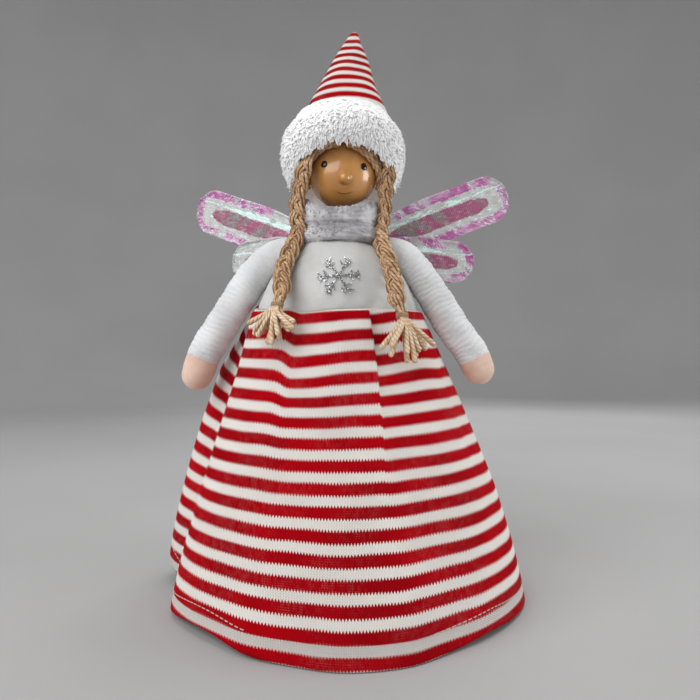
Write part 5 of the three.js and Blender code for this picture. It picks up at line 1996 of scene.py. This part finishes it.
@dataclass
class Plait:
    """A plait of three strands, each a flat bundle of yarns, with its tie and its tassel."""

    side: Side
    side_swing: float = 2.4
    depth_swing: float = 1.65
    period: float = 24.0
    standoff: float = 7.2
    sink: float = 2.0
    yarn_radius: float = 0.88
    bundle: Pairs = (
        (-1.4, 0.1), (0.0, 0.7), (1.4, 0.1), (-0.75, -0.85), (0.75, -0.85),
    )
    root_length: float = 14.0
    bend_above: float = 4.0
    bend_below: float = 14.0
    tie_turns: int = 3
    tassel_yarns: int = 12
    facing: dict[Side, float] = sided(-40.0, -18.0)
    waist: dict[Side, float] = sided(34.0, 31.0)
    end_rise: dict[Side, float] = sided(-1.0, 4.0)
    tassel_length: dict[Side, float] = sided(19.0, 15.5)
    turns: dict[Side, Triple] = sided((71.0, 77.0, 61.0), (50.0, 58.0, 55.0))

    def stations(self) -> Array:
        """Points of the plait's middle.

        Returns:
            Points from the temple over the chest to the waist.
        """
        waist = self.waist[self.side]
        end = FIGURE.skirt_height + self.end_rise[self.side]
        chest, breast = FIGURE.torso_top - 24.0, FIGURE.torso_top - 12.0
        reach = FIGURE.skirt_reach(self.side.value * waist, end / FIGURE.skirt_height, 16.0)
        off = self.standoff / math.cos(math.radians(FIGURE.arm_angle))
        chest_radius, breast_radius = (float(FIGURE.torso_radius(h)) for h in (chest, breast))
        collar = FIGURE.collar_radius + self.standoff
        temple, chin, shoulder = self.turns[self.side]
        rows = [
            (FIGURE.head_height + 1.8, temple, FIGURE.head_radius + self.standoff),
            (FIGURE.head_height - FIGURE.head_radius, chin, collar),
            (FIGURE.torso_top - FIGURE.collar_drop / 2, shoulder, collar),
            (breast, 46.0, breast_radius + off),
            (chest, 40.0, chest_radius + off),
            (float(mixed(chest, end, 0.7)), waist, float(mixed(chest_radius, reach, 0.75)) + off),
            (end, waist, reach + self.standoff),
        ]
        points = np.array([around(self.side.value * a, r, z) for z, a, r in rows])
        points[0, 0] += FIGURE.head_shift
        inward = np.array([0.0, 1.0, 1.0, 1.0, 1.0, 1.0, 0.6])[:, None] * self.sink
        return points - inward * unit(points * LEVEL)

    def strand(self, line: Array, number: int) -> Array:
        """Middle of one strand, with its root carried up under the fur.

        Args:
            line: The plait's middle.
            number: 0 to 2.

        Returns:
            Points from the root to the tie.
        """
        along = line_lengths(line)
        tangent = unit(np.gradient(line, axis=0))
        face = self.face()
        out = unit(face - tangent * (tangent @ face)[:, None])
        across = np.cross(tangent, out)
        phase = 2 * math.pi * (along / self.period + number / 3)
        gather = 1 - 0.7 * eased(along[-1] - 9.0, along[-1], along)
        woven = (line + across * (self.side_swing * gather * np.sin(phase))[:, None]
                 + out * (self.depth_swing * gather * np.sin(2 * phase))[:, None])
        centre = np.array([FIGURE.head_shift, 0.0, FIGURE.head_height])
        toward = unit(woven[0] - centre)
        rise = np.linspace(1, 0, 9)[:-1, None]
        root = woven[0] + UP * rise * self.root_length - toward * (rise ** 1.2) * 8.5
        return resampled(np.vstack([root, woven]), 190)

    def face(self) -> Array:
        """The way that the plait's flat side faces."""
        return around(self.facing[self.side], 1.0, 0.0)

    def add_bundle(self, shape: Shape, path: Array) -> None:
        """Adds the yarns of one strand side by side along its middle.

        Args:
            shape: The shape to add to.
            path: The strand's middle.
        """
        tangent = unit(np.gradient(path, axis=0))
        beside = unit(np.cross(tangent, self.face()))
        above = np.cross(beside, tangent)
        along = line_lengths(path)
        drawn = (1 - 0.35 * eased(along[-1] - 8.0, along[-1], along))[:, None]
        for k, (a, b) in enumerate(self.bundle):
            loose = 0.16 * np.sin(along * 0.7 + 2.4 * k)[:, None]
            shape.tube(path + drawn * (beside * (a + loose) + above * b), self.yarn_radius, 9, self.face())

    def build(self) -> None:
        """Makes the strands, the tie and the tassel."""
        word = self.side.word
        body = f"plait_{word}"
        line = spline(self.stations(), 240)
        for number in range(3):
            shape = Shape()
            self.add_bundle(shape, self.strand(line, number))
            name = f"plait_{word}_strand_{number + 1}"
            piece = shape.build(f"{name}_yarn", HAIR_YARN, FIGURE.upper)
            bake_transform(piece)
            dress(piece, None, [name])
        self.finish_end(line, body)

    def finish_end(self, line: Array, body: str) -> None:
        """Makes the tie and the yarn ends that fan out below it.

        Args:
            line: The plait's middle.
            body: The plait's CAD body.
        """
        word = self.side.word
        end = line[-1]
        flare = FIGURE.hem_radius - FIGURE.waist_radius
        fall = unit(around(self.side.value * self.waist[self.side], flare, -FIGURE.skirt_height))
        out = end * LEVEL
        face = unit(out - fall * out.dot(fall))
        across = np.cross(face, -fall)
        along = unit(line[-1] - line[-4])
        turn = np.linspace(0, 2 * math.pi * self.tie_turns, 24 * self.tie_turns + 1)
        radius = 2.7 + 0.2 * np.sin(3 * turn)
        path = (end + along * np.linspace(0.2, 2.2, len(turn))[:, None]
                + across * (radius * np.cos(turn))[:, None] + face * (0.85 * radius * np.sin(turn))[:, None])
        shape = Shape()
        shape.tube(path, 0.5, 8, face)
        hang(shape, f"plait_{word}_tie_thread", TIE_THREAD, body, [f"plait_{word}_tie"])
        shape = Shape()
        random = np.random.default_rng(23 + self.side.value)
        thick = np.interp(np.linspace(0, 1, 31), [0, 0.3, 0.65, 1], [0.8, 0.85, 1.15, 1.3])
        for k in range(self.tassel_yarns):
            share = (k + 0.5) / self.tassel_yarns * 2 - 1
            layer = 1.0 if k % 2 else -0.7
            spread = 0.98 * share + random.normal(0, 0.07)
            length = self.tassel_length[self.side] * (1.04 - 0.2 * abs(share)) * random.uniform(0.82, 1.06)
            start = end + across * (1.6 * share) + face * (0.8 * layer) - along * 3.0
            neck = end + along * 1.6 + across * (1.5 * share) + face * (0.8 * layer)
            way = unit(fall * math.cos(spread) + across * math.sin(spread))
            knee = neck + along * 2.4 + way * 2.4 + face * (0.4 + 0.8 * layer)
            tip = neck + along * 2.0 + way * length + face * (0.2 + 1.1 * layer) + random.normal(0, 0.5, 3)
            shape.tube(spline(np.stack([start, neck, knee, tip]), 30), thick, 10, face)
        hang(shape, f"plait_{word}_tassel_yarn", TASSEL_YARN, body, [f"plait_{word}_tassel"])


UPPER_LEFT = WingPlan("upper_wing", Side.LEFT, 100.5, 26.2, 2.2, 21.7, 1.1, tip=0.88)
LOWER_LEFT = WingPlan("lower_wing", Side.LEFT, 71.8, 23.0, 2.4, -4.0, -1.1)
WING_PLANS = (
    UPPER_LEFT,
    LOWER_LEFT,
    replace(UPPER_LEFT, side=Side.RIGHT, length=102.4, lift=19.6, layer=2.0, bare=0.42),
    replace(LOWER_LEFT, side=Side.RIGHT, length=67.0, root=3.4, lift=-2.9, layer=0.2, taper=1.1, bare=1.2),
)


@dataclass
class Wings:
    """The film wings on their wire loops, and the binding that holds their roots."""

    binding_half: float = 6.0
    binding_radius: float = 2.5
    binding_base: float = 183.0
    binding_height: float = 16.0
    binding_turns: int = 6
    pivot_depth: float = 22.3
    wire_radius: float = 0.6
    film: float = 0.16
    film_rows: int = 72
    film_columns: int = 30
    wrap: float = 0.75
    crinkle: float = 0.65
    margin: float = 4.6
    sweep: dict[Side, float] = sided(12.0, 30.0)

    def root_clear(self, plan: WingPlan) -> float:
        """Distance from the fold axis to the start of the outline.

        Args:
            plan: The wing.

        Returns:
            The distance.
        """
        lift = math.radians(plan.lift)
        share = (1 - math.cos(plan.root_turn)) / 2
        half = float(plan.half_width(np.array(share)))
        clear = self.binding_radius + FIGURE.gap + self.wire_radius
        return (clear + abs(half * math.sin(lift))) / math.cos(lift) - plan.length * share

    def placed(self, points: Array, plan: WingPlan) -> Array:
        """Carries points from the wing's own plane to the doll.

        Args:
            points: Length along the wing, depth and height across it.
            plan: The wing.

        Returns:
            Points about the leaning axis.
        """
        lift, sweep = math.radians(plan.lift), math.radians(self.sweep[plan.side])
        along = points[..., 0] + self.root_clear(plan)
        depth, rise = points[..., 1] + plan.layer, points[..., 2]
        out = along * math.cos(lift) - rise * math.sin(lift)
        height = along * math.sin(lift) + rise * math.cos(lift) + self.binding_base + plan.root
        x = out * math.cos(sweep) - depth * math.sin(sweep)
        y = out * math.sin(sweep) + depth * math.cos(sweep)
        return np.stack([plan.side.value * (self.binding_half + x), self.pivot_depth + y, height], -1)

    def build(self) -> None:
        """Makes both pairs of wings and their binding."""
        for plan in WING_PLANS:
            self.wire_loop(plan)
            self.film_sheet(plan)
        self.binding()

    def wire_loop(self, plan: WingPlan) -> None:
        """Makes the wire loop of one wing.

        Args:
            plan: The wing.
        """
        turn = np.linspace(plan.root_turn, 2 * math.pi - plan.root_turn, 160)
        share = (1 - np.cos(turn)) / 2
        rise = -np.sign(np.sin(turn)) * plan.half_width(share)
        loop = np.stack([plan.length * share, np.zeros_like(share), rise], -1)
        path = resampled(self.placed(loop, plan), 150)
        shape = Shape()
        shape.tube(path, self.wire_radius * 0.8, 8, BACK)
        name = f"{plan.label}_wire"
        hang(shape, f"{name}_loop", STEEL, f"wings_{plan.side.word}", [name])

    def film_sheet(self, plan: WingPlan) -> None:
        """Makes the crinkled film of one wing, which wraps over its wire.

        Args:
            plan: The wing.
        """
        start = (1 - math.cos(plan.root_turn * 1.25)) / 2
        turn = np.linspace(math.acos(1 - 2 * start), math.pi * 0.992, self.film_rows)
        share = ((1 - np.cos(turn)) / 2)[:, None]
        across = np.sin(np.linspace(-math.pi / 2, math.pi / 2, self.film_columns))[None]
        half = plan.half_width(share) + self.wrap
        along = plan.length * share + self.wrap * (share > 0.98)
        rise = across * half
        seed = 3.1 * plan.side.value + plan.length
        crease = (np.sin(along * 0.41 + rise * 0.9 + seed) * np.sin(along * 0.23 - rise * 0.7 + 2 * seed)
                  + 0.6 * np.sin(along * 0.83 + 2.1 * np.sin(rise * 0.45 + seed))
                  + 0.4 * np.sin(rise * 1.7 + along * 0.31))
        crinkle = self.crinkle * crease * (0.35 + 0.65 * np.abs(across) ** 2) * (1 - np.abs(across) ** 12)
        edge = np.minimum(half * (1 - np.abs(across)), plan.length * (1 - share) + self.wrap)
        cover = self.film + (self.wire_radius + 0.15) * np.exp(-((edge - self.wrap) / 0.9) ** 2)
        upper = np.stack(np.broadcast_arrays(along, crinkle + cover, rise), -1)
        lower = np.stack(np.broadcast_arrays(along, crinkle - cover, rise), -1)[:, ::-1]
        points = self.placed(np.concatenate([upper, lower], axis=1), plan)
        both = np.concatenate([rise, rise[:, ::-1], rise[:, :1]], axis=1)
        uv = np.stack(np.broadcast_arrays(both, along), -1)
        shape = Shape()
        shape.closed_grid(points, uv)
        name = f"{plan.label}_film"
        finish = WingFilm(f"{name}_foil", paint(234, 236, 234), paint(212, 214, 212), plan, self.margin,
                          17.7 * plan.side.value + plan.length)
        piece = hang(shape, f"{name}_sheet", finish, f"wings_{plan.side.word}", [name])

    def binding(self) -> None:
        """Makes the bound wire roots: a pad with turns of thread round it."""
        turn = circle(64)
        flat = np.where(np.cos(turn) > 0, 1.0, -1.0) * self.binding_half
        rise = np.linspace(0, 1, 26)
        rounded = np.minimum(1, 0.55 + 3.2 * np.minimum(rise, 1 - rise))
        swell = self.binding_radius * (0.86 + 0.14 * np.sin(math.pi * rise)) * rounded
        x = flat[None] + swell[:, None] * np.cos(turn)[None]
        y = self.pivot_depth + swell[:, None] * np.sin(turn)[None]
        z = self.binding_base + self.binding_height * rise[:, None] + 0 * x
        shape = Shape()
        shape.closed_grid(np.stack([x, y, z], -1), wound_uv(self.binding_height * rise, 64))
        turns = self.binding_turns
        wind = np.linspace(0, turns, 60 * turns)
        angle = 2 * math.pi * wind
        reach = self.binding_radius + 0.25
        path = np.stack([
            self.binding_half * np.tanh(4 * np.cos(angle)) + reach * np.cos(angle),
            self.pivot_depth + reach * np.sin(angle),
            self.binding_base + 3.0 + (self.binding_height - 6.0) * wind / turns,
        ], -1)
        shape.tube(resampled(path, 420), 0.5, 7, UP)
        hang(shape, "wing_binding_thread", HEM_THREAD, "doll", ["wing_binding"])


@dataclass
class Studio:
    """Pale round ground with a coved wall, soft lamps and the photograph's camera, in metres."""

    floor_radius: float = 1.1
    cove: float = 0.7
    wall: float = 2.0
    camera_place: Triple = (0.00486, -0.3760, 0.1346)
    camera_down: float = 0.655
    lens: float = 36.0
    sensor: float = 36.0
    air: float = 0.38
    lamp_aim: Triple = (0.0, 0.0, 0.15)
    lamps: tuple[tuple[str, Triple, float, float], ...] = (
        ("key_lamp", (-0.75, -0.85, 0.80), 1.3, 17.0), ("side_lamp", (0.98, -0.08, 0.15), 0.5, 6.0),
        ("top_lamp", (0.1, 0.1, 1.3), 0.9, 5.0), ("back_lamp", (0.35, 0.95, 0.55), 0.8, 3.0),
    )

    def build(self) -> None:
        """Makes the ground, the lamps, the world and the camera."""
        self.ground()
        for lamp in self.lamps:
            self.lamp(*lamp)
        world = bpy.data.worlds.new("studio_air")
        world.use_nodes = True
        shade = world.node_tree.nodes["Background"]
        shade.inputs["Color"].default_value = (1.0, 1.0, 1.0, 1.0)
        shade.inputs["Strength"].default_value = self.air
        bpy.context.scene.world = world
        self.camera()

    def ground(self) -> None:
        """Makes the round floor and its coved wall, open at the top."""
        bend = np.linspace(0, math.pi / 2, 19)[1:]
        floor = np.linspace(0.02, 1, 8) * self.floor_radius
        radius = np.concatenate([floor, self.floor_radius + self.cove * np.sin(bend)])
        height = np.concatenate([np.zeros(8), self.cove * (1 - np.cos(bend))])
        radius = np.append(radius, self.floor_radius + self.cove)
        height = np.append(height, self.wall)
        turn = circle(96)
        across, ahead = radius[:, None] * np.cos(turn), radius[:, None] * np.sin(turn)
        points = np.stack([across, ahead, height[:, None] + 0 * turn], -1)
        shape = Shape()
        shape.grid(points / MM, np.zeros((len(radius), 97, 2)))
        shape.grid(points[:1].reshape(1, 2, 48, 3)[0] / MM, np.zeros((2, 48, 2)), wrap=False)
        ground = shape.build("studio_floor", GROUND, np.array([0.0, 0.0, -0.1]))

    def lamp(self, name: str, place: Triple, size: float, power: float) -> None:
        """Hangs a square soft lamp that faces the doll.

        Args:
            name: Its name.
            place: Where it hangs.
            size: Length of its sides.
            power: Its power in watts.
        """
        data = bpy.data.lights.new(name, "AREA")
        data.size, data.energy = size, power
        lamp = bpy.data.objects.new(name, data)
        lamp.location = place
        lamp.rotation_euler = (Vector(self.lamp_aim) - Vector(place)).to_track_quat("-Z", "Y").to_euler()
        bpy.context.scene.collection.objects.link(lamp)

    def camera(self) -> None:
        """Sets up the camera at the height and distance that the photograph shows."""
        data = bpy.data.cameras.new("photo_camera")
        data.lens, data.sensor_width, data.clip_start = self.lens, self.sensor, 0.01
        camera = bpy.data.objects.new("photo_camera", data)
        camera.location = self.camera_place
        camera.rotation_euler = (math.radians(90 - self.camera_down), 0.0, 0.0)
        bpy.context.scene.collection.objects.link(camera)
        bpy.context.scene.camera = camera


def finish_kept_nodes() -> None:
    """Gives the CAD nodes that stay in sight their own finishes."""
    for node, finish in (("support_cone", CARD), ("neck_dowel", WOOD)):
        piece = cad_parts[node]
        piece.data.materials.clear()
        piece.data.materials.append(finish.material())
        LOG.info("%s: finished as %s", node, finish.name)


def main() -> None:
    """Builds the doll in order: studio, skirt, body, arms, head, hat, plaits and wings."""
    logging.basicConfig(level=logging.INFO, format="%(name)s %(message)s")
    bpy.context.scene.view_settings.view_transform = "Standard"
    Studio().build()
    Skirt().build()
    Torso().build()
    for side in Side:
        Arm(side).build()
    Head().build()
    Hat().build()
    for side in Side:
        Plait(side).build()
    Wings().build()
    finish_kept_nodes()
    LOG.info("%d pieces made", len(PIECES))


if __name__ == "__main__":
    main()
